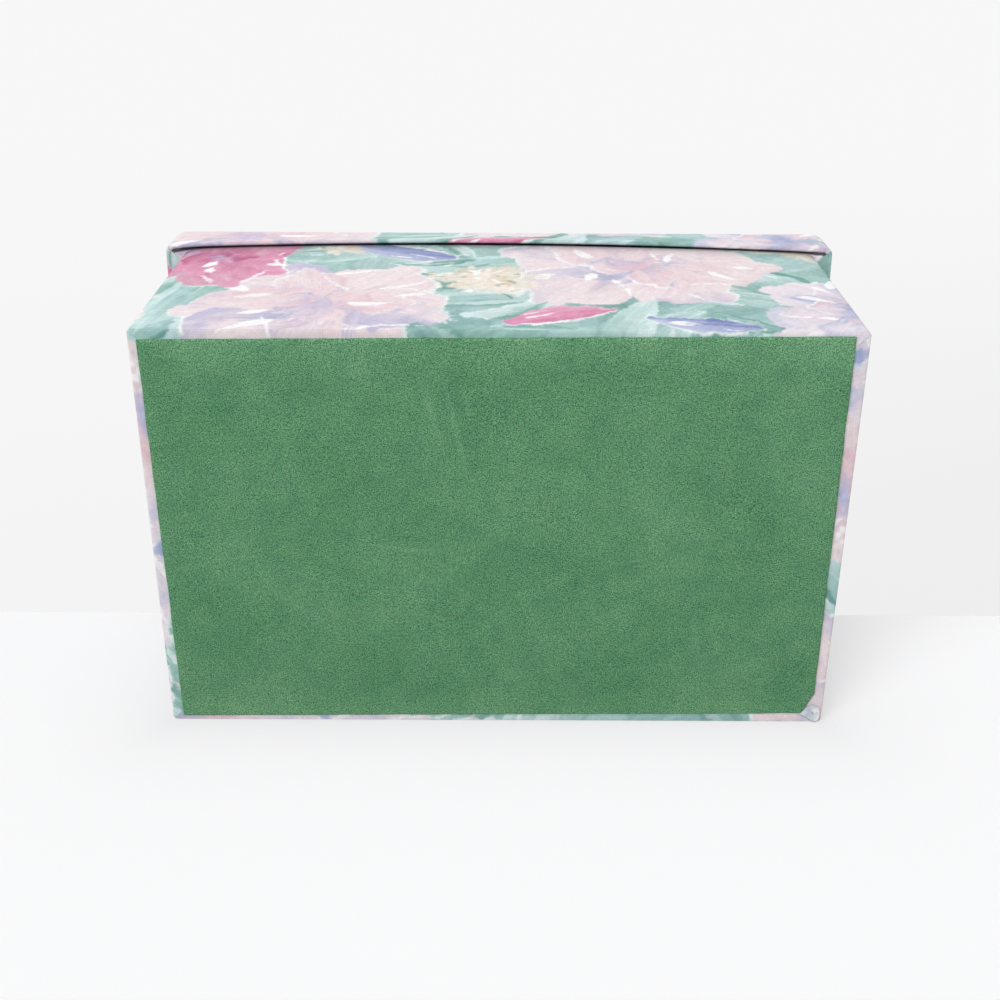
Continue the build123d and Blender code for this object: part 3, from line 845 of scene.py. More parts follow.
def lid_height(inset):
    """Height of the lid's padded top above its lower edge, at a distance from its side: a round
    shoulder under a low crown."""
    shoulder, crown = share_of(inset, 0, SHOULDER), share_of(inset, 0, CROWN)
    return EDGE_TOP + SHOULDER_RISE * np.sqrt(1 - (1 - shoulder) ** 2) + CROWN_RISE * (1 - (1 - crown) ** 2)


def lid_radius(inset):
    return 5.0 + 8.0 * share_of(inset, 0, CROWN)


def lid_inset(x, y):
    """Distance of a point of the top from the lid's side, as the rounded rings of the lid give it."""
    inset = np.minimum(LID_HALF - np.abs(x), LID_DEEP - np.abs(y - LID_MIDDLE))
    for _ in range(8):
        radius = lid_radius(inset)
        qx = np.abs(x) - (LID_HALF - inset - radius)
        qy = np.abs(y - LID_MIDDLE) - (LID_DEEP - inset - radius)
        away = np.hypot(np.maximum(qx, 0), np.maximum(qy, 0)) + np.minimum(np.maximum(qx, qy), 0) - radius
        inset = inset - away
    return inset


def shoulder_rings(count, gap=0.0, back_gap=0.0):
    """Rings over the lid's shoulder, from its top outwards, at a gap inside the cloth."""
    insets = SHOULDER * (1 - np.sin(np.linspace(0, math.pi / 2, count)))
    insets[-1] = 0
    return [Ring(LID_HALF - gap - inset, LID_FRONT + gap + inset, LID_BACK - back_gap - inset,
                 float(lid_radius(inset)), float(lid_height(inset)) - gap) for inset in insets]


def lid_side_rings():
    """Rings down the lid's side, round the roll of its lower edge and in under it."""
    rings = []
    # height, and how far the side swells there as a share of the roll
    heights = (1.5, 2.2, 3, 4, 5.2, 6.6, 8.2, 10, 12, EDGE_TOP)
    swells = (0.97, 0.9, 0.8, 0.66, 0.5, 0.34, 0.2, 0.09, 0.03, 0)
    for height in np.linspace(EDGE_TOP, heights[0], 17):
        swell = float(np.interp(height, heights, swells))
        rings.append(Ring(LID_HALF - ROLL_END * swell, LID_FRONT + ROLL_FRONT * swell, LID_BACK,
                          5 - ROLL_CORNER * swell, height, ROLL_BOW * swell, ROLL_END_BOW * swell))
    bead = 0.75
    for turn in np.radians((0, -35, -70, -105, -140, -170)):
        out, rise = bead * (math.cos(turn) - 1), bead * (1 + math.sin(turn))
        rings.append(Ring(LID_HALF - ROLL_END + out, LID_FRONT + ROLL_FRONT - out, LID_BACK + out * 0.8,
                          5 - ROLL_CORNER, rise, ROLL_BOW, ROLL_END_BOW))
    last = rings[-1]
    # steps inwards under the roll, and the height of the cloth there
    for step, height in ((0.05, 0.5), (0.12, 0.55), (0.6, 0.55), (1.0, 0.5), (1.35, 0.45)):
        rings.append(Ring(last.half - step, last.front + step, last.back - step * 0.6, 1.2, height,
                          ROLL_BOW * (1 - step / 6), ROLL_END_BOW * (1 - step / 6)))
    return rings


def raised_top(panels, level, drop=0.0):
    """Grid of the lid's padded top, from the first ring of its panels, which is at this level."""
    top = cap_of(panels, 0)
    height = LID_Z + lid_height(lid_inset(top[..., 0], top[..., 1])) - drop
    height[[0, -1]] = level
    height[:, [0, -1]] = level
    top[..., 2] = height
    return top


def make_lid_cloth():
    """Cloth of the padded lid: its top, its shoulder, the soft roll round its edge and the turn-in."""
    offset = np.array((24.0, 118.0))
    side = lid_side_rings()
    rings = shoulder_rings(24) + side[1:]
    groove = range(len(rings) - 5, len(rings) - 1)
    lower = rings[-1]._replace(radius=2.2)
    mouth = Ring(118.15, -69.4, 68.6, 0.4, 0.0)
    for share in (0.4, 0.8, 1.0):
        rings.append(between_rings(lower, mouth, share)._replace(level=0.45 * (1 - share)))
    rings += [mouth._replace(level=rise) for rise in (0.5, 3, 6.5, 10)]
    run, runs = 0.0, [0.0]
    for before, after in zip(rings[:-1], rings[1:]):
        run += math.hypot(after.front - after.bow - before.front + before.bow, after.level - before.level)
        runs.append(run)
    rings = [ring._replace(level=LID_Z + ring.level) for ring in rings]
    panels = ring_panels(rings, 300, 150)
    shell = Shell()
    for name, (points, _) in panels.items():
        axis, way = SIDES[name]
        cloth = np.repeat(points[:1, :, :2], len(points), 0) + offset
        cloth[..., axis] += way * np.array(runs)[:, None]
        painted_shade = np.ones(points.shape[:2])
        if name == "front":
            # the padding lies clear of the frame behind the roll of the front edge, a deep crease, and the
            # print in it is darkened as painted shade
            for index in groove:
                points[index, :, 2] += 4.6 * np.clip(1 - np.abs(points[index, :, 0] / 122) ** 24, 0, 1)
                painted_shade[index] = 0.4
        shell.grid(dent_lid(points), cloth, flip=True, painted_shade=painted_shade)
    top = raised_top(panels, rings[0].level)
    shell.grid(dent_lid(top), top[..., :2] + offset)
    return shell.build("lid_cloth", prints=True)


class Crown:
    """Cloth simulation of the lid's top on a coarse grid. The cloth, cut a little larger than the
    padding, is held round its edge and settles into shallow folds."""

    step, edge, growth, frames = 4.0, 1.5, 0.003, 20

    def __init__(self):
        self.low = np.array((self.edge - LID_HALF, LID_FRONT + self.edge))
        self.high = np.array((LID_HALF - self.edge, LID_BACK - self.edge))
        self.count = ((self.high - self.low) / self.step).astype(int)
        x, y = np.meshgrid(*(np.linspace(a, b, n) for a, b, n in zip(self.low, self.high, self.count)))
        inset = lid_inset(x, y)
        level = LID_Z + lid_height(np.clip(inset, 0.2, None))
        shell = Shell()
        shell.grid(np.stack((x, y, level), -1))
        pad = shell.build("crown_pad")
        order = self.order_of(pad, x, y)
        held = pad.vertex_groups.new(name="held")
        for index, weight in zip(order, 1 - share_of(inset.ravel(), 5, 6)):
            held.add([int(index)], float(weight), "REPLACE")
        settings = pad.modifiers.new("settle", "CLOTH").settings
        chosen = {"quality": 6, "mass": 0.15, "tension_stiffness": 15, "compression_stiffness": 15,
                  "shear_stiffness": 7.5, "bending_stiffness": 0.5, "vertex_group_mass": "held",
                  "shrink_min": -self.growth}
        for key, value in chosen.items():
            setattr(settings, key, value)
        settings.effector_weights.gravity = 0
        for number in range(1, self.frames + 1):
            bpy.context.scene.frame_set(number)
        settled = pad.evaluated_get(bpy.context.evaluated_depsgraph_get())
        self.fold = self.places(settled)[order, 2].reshape(level.shape) - level
        bpy.context.scene.frame_set(1)
        bpy.data.objects.remove(pad)

    @staticmethod
    def places(obj):
        """Places of the object's vertices in millimetres."""
        place = np.zeros(len(obj.data.vertices) * 3, np.float32)
        obj.data.vertices.foreach_get("co", place)
        return place.reshape(-1, 3) / MM

    def order_of(self, pad, x, y):
        """Vertex of the welded mesh at each place of the grid."""
        made = np.round(self.places(pad)[:, :2], 1)
        where = {tuple(spot): index for index, spot in enumerate(made.tolist())}
        wanted = np.round(np.stack((x, y), -1).astype(np.float32), 1)
        return np.array([where[tuple(spot)] for spot in wanted.reshape(-1, 2).tolist()])

    def read(self, points):
        """How far the cloth rises or sinks at these points, between the nearest four of the grid."""
        place = (points[..., :2] - self.low) / (self.high - self.low) * (self.count - 1)
        place = np.clip(place, 0, self.count - 1.001)
        x, y = place[..., 0].astype(int), place[..., 1].astype(int)
        return blend(self.fold, (y, y + 1), (x, x + 1), place[..., 1] - y, place[..., 0] - x)


crown = Crown()


def dent_lid(points):
    """Folds of the cloth on the lid's top, from the simulation, and slight unevenness of its padding."""
    points = points.copy()
    height = points[..., 2] - LID_Z
    fold = np.clip(crown.read(points), -2.2, 2.2) * 0.4 - 0.5
    wave = soft_wave(points, 38, 0.15, 11) + soft_wave(points, 90, 0.2, 12)
    points[..., 2] += (np.minimum(wave * share_of(height, 10, 8), 0.0)
                       + np.minimum(fold, 0.3) * share_of(height, 20, 5))
    return points


# Felt pad and corner tab

def spaced(low, high, step, edge=(0.0, 0.3, 0.7, 1.3)):
    """Places from low to high, closer together near both ends."""
    inner = np.linspace(low + edge[-1], high - edge[-1], max(2, int((high - low) / step)))
    near = np.array(edge[:-1])
    return np.concatenate((low + near, inner, (high - near)[::-1]))


# Ends, half width and strength of the pale scuffs on the felt
SCUFFS = (
    (-26, -62, -19, -34, 0.9, 0.6), (-18, -60, -11, -26, 0.7, 0.9), (-12, -58, -9, -44, 0.6, 0.7),
    (60, -70, 64, -69, 0.7, 1.0), (-106, 66, -105, 66, 0.6, 1.0), (20, -66, 22, -63, 0.5, 0.8),
    (-44, 2, -22, 4, 0.8, 0.6), (-80, 20, -60, 34, 1.6, 0.3), (70, 30, 74, 52, 1.0, 0.35),
    (-50, -20, -46, 4, 1.0, 0.2), (8, 40, 26, 38, 0.9, 0.25), (90, -40, 96, -22, 1.2, 0.2),
)


def scuffs_at(where):
    """Strength of the scuffs at places on the felt."""
    marks = np.zeros(len(where))
    for x0, y0, x1, y1, wide, strength in SCUFFS:
        a, b = np.array((x0, y0)), np.array((x1, y1))
        t = np.clip(((where - a) @ (b - a)) / ((b - a) @ (b - a)), 0, 1)
        gap = np.linalg.norm(where - a - t[:, None] * (b - a), axis=1)
        marks = np.maximum(marks, strength * np.exp(-(gap / wide) ** 2) * (0.4 + 0.6 * np.sin(math.pi * t)))
    return marks


def make_felt():
    """Felt pad under the base, turned a little, with slightly wavy cut edges and one corner cut off."""
    half_x, half_y, step = 116.65, 73.4, 1.25
    cut_x, cut_y = 4.3, 9.0
    rounding, round_width, edge_width = 0.45, 1.1, 6
    turn, shift = math.radians(-0.5), np.array((-0.45, -0.6))
    x, y = np.meshgrid(spaced(-half_x, half_x, step), spaced(-half_y, half_y, step))
    normal = np.array((cut_y, cut_x)) / math.hypot(cut_x, cut_y)
    tip = np.array((half_x - cut_x, half_y))
    from_cut = tip @ normal - (x * normal[0] + y * normal[1])
    to_end, to_side = half_x - np.abs(x), half_y - np.abs(y)
    away = np.minimum(np.minimum(to_end, to_side), np.maximum(from_cut, 0))
    lift = rounding * (1 - np.sqrt(1 - (1 - share_of(away, 0, round_width)) ** 2))
    points = np.stack((x, y, lift), -1)
    near = np.clip(1 - away / edge_width, 0, 1)
    wave = soft_wave(points, 13, 0.22, 21) + soft_wave(points, 47, 0.3, 22)
    points[..., 0] -= np.sign(x) * np.abs(wave) * near * (to_end < 8)
    points[..., 1] -= np.sign(y) * np.abs(soft_wave(points, 17, 0.25, 23)) * near * (to_side < 8)
    points[..., 2] += np.maximum(soft_wave(points, 30, 0.1, 24), 0) * share_of(away, 0, 4)
    spin = np.array(((math.cos(turn), math.sin(turn)), (-math.sin(turn), math.cos(turn))))
    points[..., :2] = points[..., :2] @ spin + shift
    rows, columns = x.shape
    mesh = bmesh.new()
    made = [mesh.verts.new(point) for point in (points * MM).reshape(-1, 3)]
    for row in range(rows - 1):
        for first in range(row * columns, (row + 1) * columns - 1):
            mesh.faces.new((made[first], made[first + columns], made[first + columns + 1], made[first + 1]))
    bmesh.ops.bisect_plane(mesh, geom=mesh.verts[:] + mesh.edges[:] + mesh.faces[:], dist=1e-7,
                           plane_co=(*(tip @ spin + shift) * MM, 0), plane_no=(*(normal @ spin), 0),
                           clear_outer=True)
    border = [edge for edge in mesh.edges if edge.is_boundary]
    grown = bmesh.ops.extrude_edge_only(mesh, edges=border)["geom"]
    for vert in (part for part in grown if isinstance(part, bmesh.types.BMVert)):
        vert.co.z = BASE_Z * MM
    for face in mesh.faces:
        face.smooth = True
    bmesh.ops.recalc_face_normals(mesh, faces=mesh.faces[:])
    data = bpy.data.meshes.new("felt_pad")
    mesh.to_mesh(data)
    mesh.free()
    felt = new_object("felt_pad", data)
    layer = data.attributes.new("scuff", "FLOAT", "POINT")
    layer.data.foreach_set("value", scuffs_at(Crown.places(felt)[:, :2]).astype(np.float32))
    return felt


def make_fold():
    """Loose fold of the cloth at one corner of the underside, creased down its middle."""
    tip, end = np.array((111.9, 71.8)), np.array((117.2, 75.6))
    outline = np.array((tip, (114.2, 69.3), (116.8, 67.9), (119.3, 69.4), (120.0, 72.8), (119.5, 75.3), end))
    centre = outline.mean(0)
    edge = []
    for a, b in zip(outline, np.roll(outline, -1, 0)):
        edge += [a + (b - a) * t for t in np.linspace(0, 1, 7)[:-1]]
    edge = np.array(edge + edge[:1])
    fold = (end - tip) / np.hypot(*(end - tip))
    share = np.linspace(0, 1, 9)[:, None]
    flat = centre + (edge - centre) * np.maximum(share, 0.001)[..., None]
    from_fold = np.abs((flat - tip) @ np.array((-fold[1], fold[0])))
    lift = 0.45 * np.exp(-((from_fold - 0.5) / 0.7) ** 2) + 0.15 * np.exp(-((from_fold - 3.4) / 0.8) ** 2)
    shell = Shell()
    for thick, flip in ((0, True), (0.4, False)):
        level = 0.7 - lift + thick * (1 - share ** 6)
        shell.grid(np.concatenate((flat, level[..., None]), -1), flip=flip)
    return shell.build("corner_tab")


# Linings, padding, mirror, braid and ring rolls

def slab(name, low, high, radius, step=4.0):
    """Lined board with rounded edges."""
    size = high - low
    centre, inner = (low + high) / 2, size / 2 - radius
    cores, leans = [], []
    for k in range(3):
        flat = np.linspace(-inner[k], inner[k], max(2, int(2 * inner[k] / step) + 1))
        cores.append(np.concatenate(([flat[0]] * 2, flat, [flat[-1]] * 2)))
        leans.append(np.concatenate(((-1, -0.414), np.zeros(len(flat)), (0.414, 1))))
    shell = Shell()
    for k in range(3):
        i, j = (k + 1) % 3, (k + 2) % 3
        for way in (-1, 1):
            core = np.zeros((len(cores[j]), len(cores[i]), 3))
            away = np.zeros_like(core)
            core[..., i], core[..., j] = np.meshgrid(cores[i], cores[j])
            away[..., i], away[..., j] = np.meshgrid(leans[i], leans[j])
            core[..., k], away[..., k] = way * inner[k], way
            points = core + away / np.linalg.norm(away, axis=-1, keepdims=True) * radius
            shell.grid(points + centre, points[..., (i, j)], flip=way < 0)
    return shell.build(name)


def make_lining_frame(name, outer, window, low, high, puff):
    """Padded frame round an opening, between two levels. outer and window are x and y spans."""
    rings = [(outer, high)]
    for share in np.linspace(0, 1, 13):
        ends = abs(2 * share - 1)
        rings.append((outer + (window - outer) * share, low - puff * (1 - ends ** 6) + 0.5 * (ends > 0.99)))
    rings += [(window, high), (outer, high)]
    sides = ([], [], [], [])
    for (x0, x1, y0, y1), level in rings:
        corners = np.array(((x0, y0, level), (x1, y0, level), (x1, y1, level), (x0, y1, level)))
        for side, first, last, count in zip(sides, corners, np.roll(corners, -1, 0), (60, 40, 60, 40)):
            side.append(np.linspace(first, last, count))
    shell = Shell()
    for side in sides:
        shell.grid(np.array(side), flip=True)
    return shell.build(name)


def make_mirror(low, high):
    """Mirror with a bevelled border."""
    border, step = 7.0, 0.7
    outer = [(low[0], low[1]), (high[0], low[1]), (high[0], high[1]), (low[0], high[1])]
    inner = [(x - math.copysign(border, x), y - math.copysign(border, y)) for x, y in outer]
    points = [(*corner, level) for ring, level in ((outer, high[2]), (outer, low[2] + step), (inner, low[2]))
              for corner in ring]
    faces = [(0, 1, 2, 3), (8, 11, 10, 9)]
    for k, n in ((0, 1), (1, 2), (2, 3), (3, 0)):
        faces += [(k, 4 + k, 4 + n, n), (4 + k, 8 + k, 8 + n, 4 + n)]
    return mesh_object("mirror", points, faces)


def unit(vectors):
    return vectors / np.linalg.norm(vectors, axis=-1, keepdims=True)


def tube(shell, path, radius, sides=7):
    """Round strand along a closed path."""
    ahead = unit(np.roll(path, -1, 0) - np.roll(path, 1, 0))
    left = unit(np.cross((0, 0, 1.0), ahead))
    rise = np.cross(ahead, left)
    turn = np.linspace(0, 2 * math.pi, sides + 1)[:, None]
    ring = path[:, None] + radius * (left[:, None] * np.cos(turn) + rise[:, None] * np.sin(turn))
    ring = np.concatenate((ring, ring[:1]))
    shell.grid(ring, np.zeros(ring.shape[:2] + (2,)))


def make_braid(low, high):
    """Gold braid of three strands laid round the mirror."""
    inset, corner, pitch, steps = 2.0, 3.0, 5.2, 12
    swing, rise, thick, sunk = 1.35, 0.22, 0.5, 0.15
    middle = np.array((0, (low[1] + high[1]) / 2))
    x, y = high[0] - inset, (high[1] - low[1]) / 2 - inset
    line = np.array([(corner - x, -y), (x - corner, -y), (x, corner - y), (x, y - corner), (x - corner, y),
                     (corner - x, y), (-x, y - corner), (-x, corner - y), (corner - x, -y)])
    reach = np.concatenate(((0,), np.cumsum(np.linalg.norm(np.diff(line, axis=0), axis=1))))
    turns = round(reach[-1] / pitch)
    share = np.arange(turns * steps) / (turns * steps)
    path = np.stack([np.interp(share * reach[-1], reach, line[:, k]) for k in (0, 1)], -1)
    ahead = unit(np.roll(path, -3, 0) - np.roll(path, 3, 0))
    side = np.stack((-ahead[:, 1], ahead[:, 0]), -1)
    shell = Shell()
    for strand in range(3):
        phase = 2 * math.pi * (share * turns + strand / 3)
        level = (low[2] + high[2]) / 2 - sunk + rise * np.sin(2 * phase)
        flat = path + middle + side * swing * np.sin(phase)[:, None]
        tube(shell, np.concatenate((flat, level[:, None]), -1), thick)
    return shell.build("mirror_braid")


def make_roll(name, low, high):
    """Soft roll of a ring tray, a little flattened where it rests, with rounded ends."""
    rounding, tip = 2.2, 0.3
    radius, centre = (high[1] - low[1]) / 2, (low[1] + high[1]) / 2
    length, axis = high[0] - low[0], high[2] - (high[1] - low[1]) / 2
    ends = [(out, radius - down) for out, down, _ in quarter(rounding, np.linspace(90, 0, 6))]
    half_run = [(0.0, tip)] + ends
    straight = [(place, radius) for place in np.linspace(rounding + 2, length - rounding - 2, 50)]
    stations = half_run + straight + [(length - place, size) for place, size in half_run[::-1]]
    place, size = (np.array(part)[:, None] for part in zip(*stations))
    around = np.linspace(0, 2 * math.pi, 33)[None]
    along = low[0] + place + 0 * around
    points = np.stack((along, centre + size * np.sin(around),
                       np.maximum(axis + size * np.cos(around), low[2])), -1)
    middle = np.stack((along, np.full_like(along, centre), np.full_like(along, axis)), -1)
    points = middle + (points - middle) * (1 - np.abs(soft_wave(points, 22, 0.12, 31))[..., None] / radius)
    points[:, -1] = points[:, 0]
    shell = Shell()
    shell.grid(points, np.zeros(points.shape[:2] + (2,)), flip=True)
    return shell.build(name)


def make_batting(side, low, high, half, bow):
    """Batting over one wall, from its board side outwards: it bows with the cloth over it, and thins
    out to nothing at its edges."""
    thick, rounding = 0.8, 2.5
    axis, way = SIDES[side]
    middle = (low[1] + high[1]) / 2 if axis == 0 else 0.0
    board = low[axis] if way > 0 else -high[axis]
    along, level = np.meshgrid(np.linspace(-half, half, int(half)), np.linspace(low[2], high[2], 45))
    away = np.minimum(half - np.abs(along), np.minimum(level - low[2], high[2] - level))
    rounded = np.sqrt(1 - (1 - share_of(away, 0, rounding)) ** 2)
    share = share_of(level, low[2], high[2] - low[2])
    depth = (thick + bow * share * wall_arch(along, half)) * rounded
    shell = Shell()
    for reach, inner in ((depth, False), (np.zeros_like(depth), True)):
        points = side_points(side, along, board + reach, level, middle)
        shell.grid(points, points[..., (0, 2)], flip=inner)
    return shell.build(f"{side}_batting_pad")


def make_lid_pad(panel_top):
    """Closed padding of the lid: it lies on the panel and round the rails, just inside the cloth."""
    gap, back_gap, sunk = 0.9, 0.7, 1.0
    rings = shoulder_rings(9, gap, back_gap)
    for height, swell in ((11.5, 0.05), (9.8, 0.1), (8.2, 0.2), (7.0, 0.3)):
        rings.append(Ring(LID_HALF - gap - ROLL_END * swell, LID_FRONT + gap + ROLL_FRONT * swell,
                          LID_BACK - back_gap, 4 - 1.8 * swell, height, 2.8 * swell, 1.0 * swell))
    rings.append(Ring(126.0, -77.9, 76.0, 2.0, 6.2, 1.0, 0.4))
    rings += [Ring(124.85, -76.1, 75.3, 0.4, height) for height in (6.0, 9, 13, panel_top - LID_Z + 0.1)]
    rings = [ring._replace(level=LID_Z + ring.level) for ring in rings]
    panels = ring_panels(rings, 130, 80)
    shell = Shell()
    for points, cloth in panels.values():
        shell.grid(points, cloth, flip=True)
    shell.grid(raised_top(panels, rings[0].level, gap + sunk))
    shell.grid(cap_of(panels, -1), flip=True)
    return shell.build("lid_pad")


def make_rail_band(low, high):
    """Lining band round the inside of the lid's rails, with a soft lower edge."""
    thick = 0.7
    # steps inwards and levels
    rows = ((0.0, high[2]), (0.0, low[2] + 0.6), (0.12, low[2] + 0.25), (0.3, low[2] + 0.15),
            (0.5, low[2] + 0.3), (0.62, low[2] + 0.8), (0.72, low[2] + 3), (0.78, (low[2] + high[2]) / 2),
            (0.72, high[2] - 3), (0.6, high[2]), (0.0, high[2]))
    rings = [Ring(high[0] - thick - step, low[1] + thick + step, high[1] - thick - step, 0.5, level)
             for step, level in rows]
    shell = Shell()
    for points, cloth in ring_panels(rings, 90, 60).values():
        shell.grid(points, cloth, flip=True)
    return shell.build("lid_rail_lining_band")


# Materials of the chest

def cloth_material():
    """Printed cotton: the painting, the marks of its brush and the weave."""
    finish = Finish("floral_cloth")
    marks = finish.add("SeparateColor", {0: finish.stored("brush")}).outputs
    along_stroke, across_stroke = finish.times(marks[0], 0.12), finish.times(marks[1], 1.5)
    brush = finish.add("CombineXYZ", {0: along_stroke, 1: across_stroke, 2: 0.0}).outputs[0]
    streak = finish.ramp(finish.noise(brush, 1.0, 3.0, 0.6), (0.25, 0.9), (0.75, 1.08))
    colour = finish.tinted(0.8, finish.stored("print"), streak)
    slub = finish.noise(finish.flat_cloth(), 900.0, 3.0, 0.6)
    fine = finish.plus(finish.times(finish.weave(), 0.6), finish.times(slub, 0.6))
    colour = finish.tinted(0.9, colour, finish.ramp(fine, (0.2, 0.93), (0.8, 1.03)))
    finish.set(base_color=colour, roughness=0.82, specular_ior_level=0.25, sheen_weight=0.08,
               sheen_roughness=0.5)
    finish.bump(0.35, 0.08, fine)
    return finish.material


def cloth_back_material():
    """Unprinted back of the cloth, where the print shows through faintly."""
    finish = Finish("cloth_back")
    ghost = finish.noise(finish.place(), 220.0)
    base = finish.ramp(ghost, (0.35, linear(186, 199, 208)), (0.5, linear(214, 216, 224)),
                       (0.62, linear(242, 243, 246)))
    threads = finish.weave()
    colour = finish.tinted(0.9, base, finish.ramp(threads, (0.2, 0.93), (0.8, 1.03)))
    finish.set(base_color=colour, roughness=0.85, specular_ior_level=0.25)
    finish.bump(0.35, 0.08, threads)
    return finish.material


def felt_material():
    """Pressed felt: grain, cloudy patches, paler front and back edges, and scuffs."""
    finish = Finish("green_felt")
    place = finish.place()
    cloud = finish.ramp(finish.noise(place, 26.0, 5.0, 0.62), (0.34, linear(76, 130, 92)),
                        (0.66, linear(107, 155, 116)))
    patch = finish.ramp(finish.noise(place, 150.0, 4.0, 0.65, 0.8), (0.3, linear(78, 131, 97)),
                        (0.7, linear(105, 154, 108)))
    fleck, fine = finish.noise(place, 1000.0, 3.0, 0.7), finish.noise(place, 2500.0, 2.0, 0.6)
    grain = finish.plus(finish.times(fleck, 0.27), finish.times(fine, 0.73))
    shade = finish.ramp(grain, (0.37, (0.24, 0.28, 0.24)), (0.63, (1.76, 1.7, 1.76)))
    colour = finish.tinted(1.0, finish.mix(0.5, cloud, patch), shade)
    across = finish.plus(finish.times(finish.split(place)[1], 6.6), 0.5)
    edge_band = finish.ramp(across, (0.02, (1.3, 1.22, 1.24)), (0.1, 1.06), (0.9, 0.98),
                         (0.975, (1.16, 1.1, 1.1)))
    colour = finish.tinted(1.0, colour, edge_band)
    scuff = finish.times(finish.stored("scuff", "Fac"), finish.times(grain, 0.46))
    colour = finish.mix(scuff, colour, linear(166, 206, 174))
    finish.set(base_color=colour, roughness=0.95, specular_ior_level=0.1, sheen_weight=0.15,
               sheen_roughness=0.6, sheen_tint=linear(150, 190, 160))
    finish.bump(0.6, 0.2, grain)
    return finish.material


def flock_material():
    """Flocked lining with a soft nap."""
    finish = Finish("green_lining")
    place = finish.place()
    cloud, nap = finish.noise(place, 60.0, 3.0, 0.6), finish.noise(place, 2600.0, 2.0, 0.6)
    colour = finish.ramp(cloud, (0.3, linear(84, 134, 96)), (0.7, linear(97, 150, 111)))
    colour = finish.tinted(1.0, colour, finish.ramp(nap, (0.35, 0.8), (0.7, 1.12)))
    finish.set(base_color=colour, roughness=0.9, specular_ior_level=0.12, sheen_weight=0.35,
               sheen_roughness=0.4, sheen_tint=linear(170, 205, 178))
    finish.bump(0.4, 0.08, nap)
    return finish.material


def metal_material(name, colour, rough):
    """Brushed metal, darker and duller where it has tarnished."""
    finish = Finish(name)
    place = finish.place()
    scratch = finish.noise(finish.stretched(place, 0.08, 1.0, 1.0), 3000.0, 3.0, 0.7)
    tarnish = finish.noise(place, 220.0, 4.0, 0.6)
    shade = finish.ramp(tarnish, (0.35, tuple(part * 0.72 for part in colour)), (0.65, colour))
    dull = finish.plus(finish.times(scratch, 0.18), finish.times(tarnish, 0.22))
    finish.set(base_color=shade, metallic=1.0, roughness=finish.plus(dull, rough))
    finish.bump(0.15, 0.02, scratch)
    return finish.material


def board_material():
    """Grey chipboard with fibres along it."""
    finish = Finish("chipboard")
    place = finish.place()
    fibre = finish.noise(finish.stretched(place, 1.0, 0.3, 1.0), 900.0, 5.0, 0.65)
    chips = finish.add("TexVoronoi", {"Vector": place, "Scale": 420.0}).outputs["Color"]
    base = finish.ramp(fibre, (0.3, linear(150, 134, 112)), (0.7, linear(186, 172, 148)))
    finish.set(base_color=finish.mix(0.25, base, chips, "SOFT_LIGHT"), roughness=0.85)
    finish.bump(0.3, 0.1, fibre)
    return finish.material


def batting_material():
    """White wadding."""
    finish = Finish("batting")
    fluff = finish.noise(finish.place(), 700.0, 6.0, 0.7, 1.5)
    colour = finish.ramp(fluff, (0.3, linear(222, 219, 212)), (0.7, linear(246, 244, 240)))
    finish.set(base_color=colour, roughness=1.0)
    finish.bump(0.6, 0.3, fluff)
    return finish.material


def mirror_material():
    """Silvered glass with a faint haze."""
    finish = Finish("mirror_glass")
    haze = finish.noise(finish.place(), 30.0, 4.0, 0.6)
    silver = finish.ramp(haze, (0.3, (0.82, 0.86, 0.86)), (0.7, (0.88, 0.91, 0.91)))
    finish.set(base_color=silver, metallic=1.0, roughness=finish.times(haze, 0.05))
    return finish.material


MATERIALS = {
    "floral_cloth": cloth_material(),
    "cloth_back": cloth_back_material(),
    "green_felt": felt_material(),
    "green_lining": flock_material(),
    "brass": metal_material("brass", (0.74, 0.55, 0.26), 0.12),
    "gold_braid": metal_material("gold_braid", (0.66, 0.5, 0.22), 0.3),
    "chipboard": board_material(),
    "batting": batting_material(),
    "mirror_glass": mirror_material(),
}


# The pieces of the chest

def node_box(name):
    """A node's corners in millimetres."""
    return [np.array(corner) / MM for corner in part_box(name)]


def finish_piece(piece, slot, body, node):
    """Gives a piece its material, body and slot, and hides the node that it stands for."""
    piece.data.materials.append(MATERIALS[slot])
    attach(piece, body)
    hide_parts(node)
    return piece


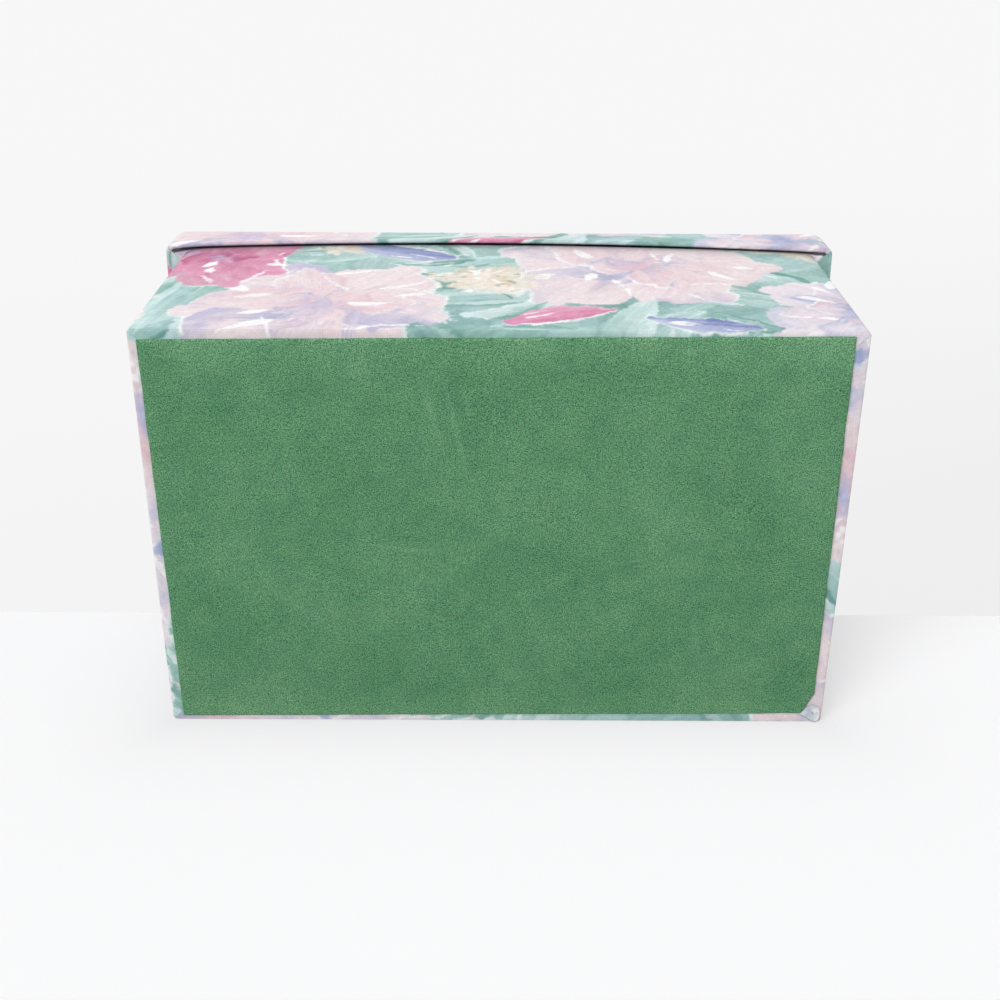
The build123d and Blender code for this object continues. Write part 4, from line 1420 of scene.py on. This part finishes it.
for side, (points, cloth) in ring_panels(body_rings(), 440, 230, wall_arch).items():
    panel = finish_piece(make_body_cloth(side, points, cloth), "floral_cloth", "box", "body_cover")
lid_cloth = finish_piece(make_lid_cloth(), "floral_cloth", "lid", "lid_cover")
felt_pad = finish_piece(make_felt(), "green_felt", "box", "felt_base_pad")
finish_piece(make_fold(), "cloth_back", "box", "corner_fold")

for name in ("floor_lining", "front_lining", "back_lining", "left_lining", "right_lining", "front_ledge",
             "back_ledge"):
    finish_piece(slab(name + "_cloth", *node_box(name), 0.6), "green_lining", "box", name)
for name in ("floor", "front_wall", "back_wall", "left_wall", "right_wall", "long_divider", "short_divider"):
    node = "tray_" + name
    finish_piece(slab(node + "_lined", *node_box(node), 0.8), "green_lining", "tray", node)
for index in range(1, 6):
    node = f"ring_roll_{index}"
    roll = make_roll(f"soft_roll_{index}", *node_box(node))
    finish_piece(roll, "green_lining", "tray", node)
for side, half, bow in (("front", 120.0, 3.0), ("left", 75.0, 1.0), ("right", 75.0, 1.0)):
    node = side + "_batting"
    batting = make_batting(side, *node_box(node), half, bow)
    finish_piece(batting, "batting", "box", node)
panel_top = node_box("lid_panel")[1][2]
finish_piece(make_lid_pad(panel_top), "batting", "lid", "lid_padding")
finish_piece(make_rail_band(*node_box("lid_rail_lining")), "green_lining", "lid", "lid_rail_lining")

(low, high), (glass_low, glass_high) = node_box("lid_lining"), node_box("lid_mirror")
glass_gap = 0.3
window = np.array((glass_low[0] - glass_gap, glass_high[0] + glass_gap, glass_low[1] - glass_gap,
                   glass_high[1] + glass_gap))
outer = np.array((low[0], high[0], low[1], high[1]))
lining = make_lining_frame("lid_lining_cloth", outer, window, low[2], high[2], 0.6)
finish_piece(lining, "green_lining", "lid", "lid_lining")
finish_piece(make_mirror(glass_low, glass_high), "mirror_glass", "lid", "lid_mirror")
finish_piece(make_braid(*node_box("mirror_trim")), "gold_braid", "lid", "mirror_trim")

for name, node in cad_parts.items():
    if "hinge" in name or "screws" in name:
        chosen = "brass"
    elif "batting" in name or "padding" in name:
        chosen = "batting"
    elif "lining" in name:
        chosen = "green_lining"
    else:
        chosen = "chipboard"
    node.data.materials.clear()
    node.data.materials.append(MATERIALS[chosen])
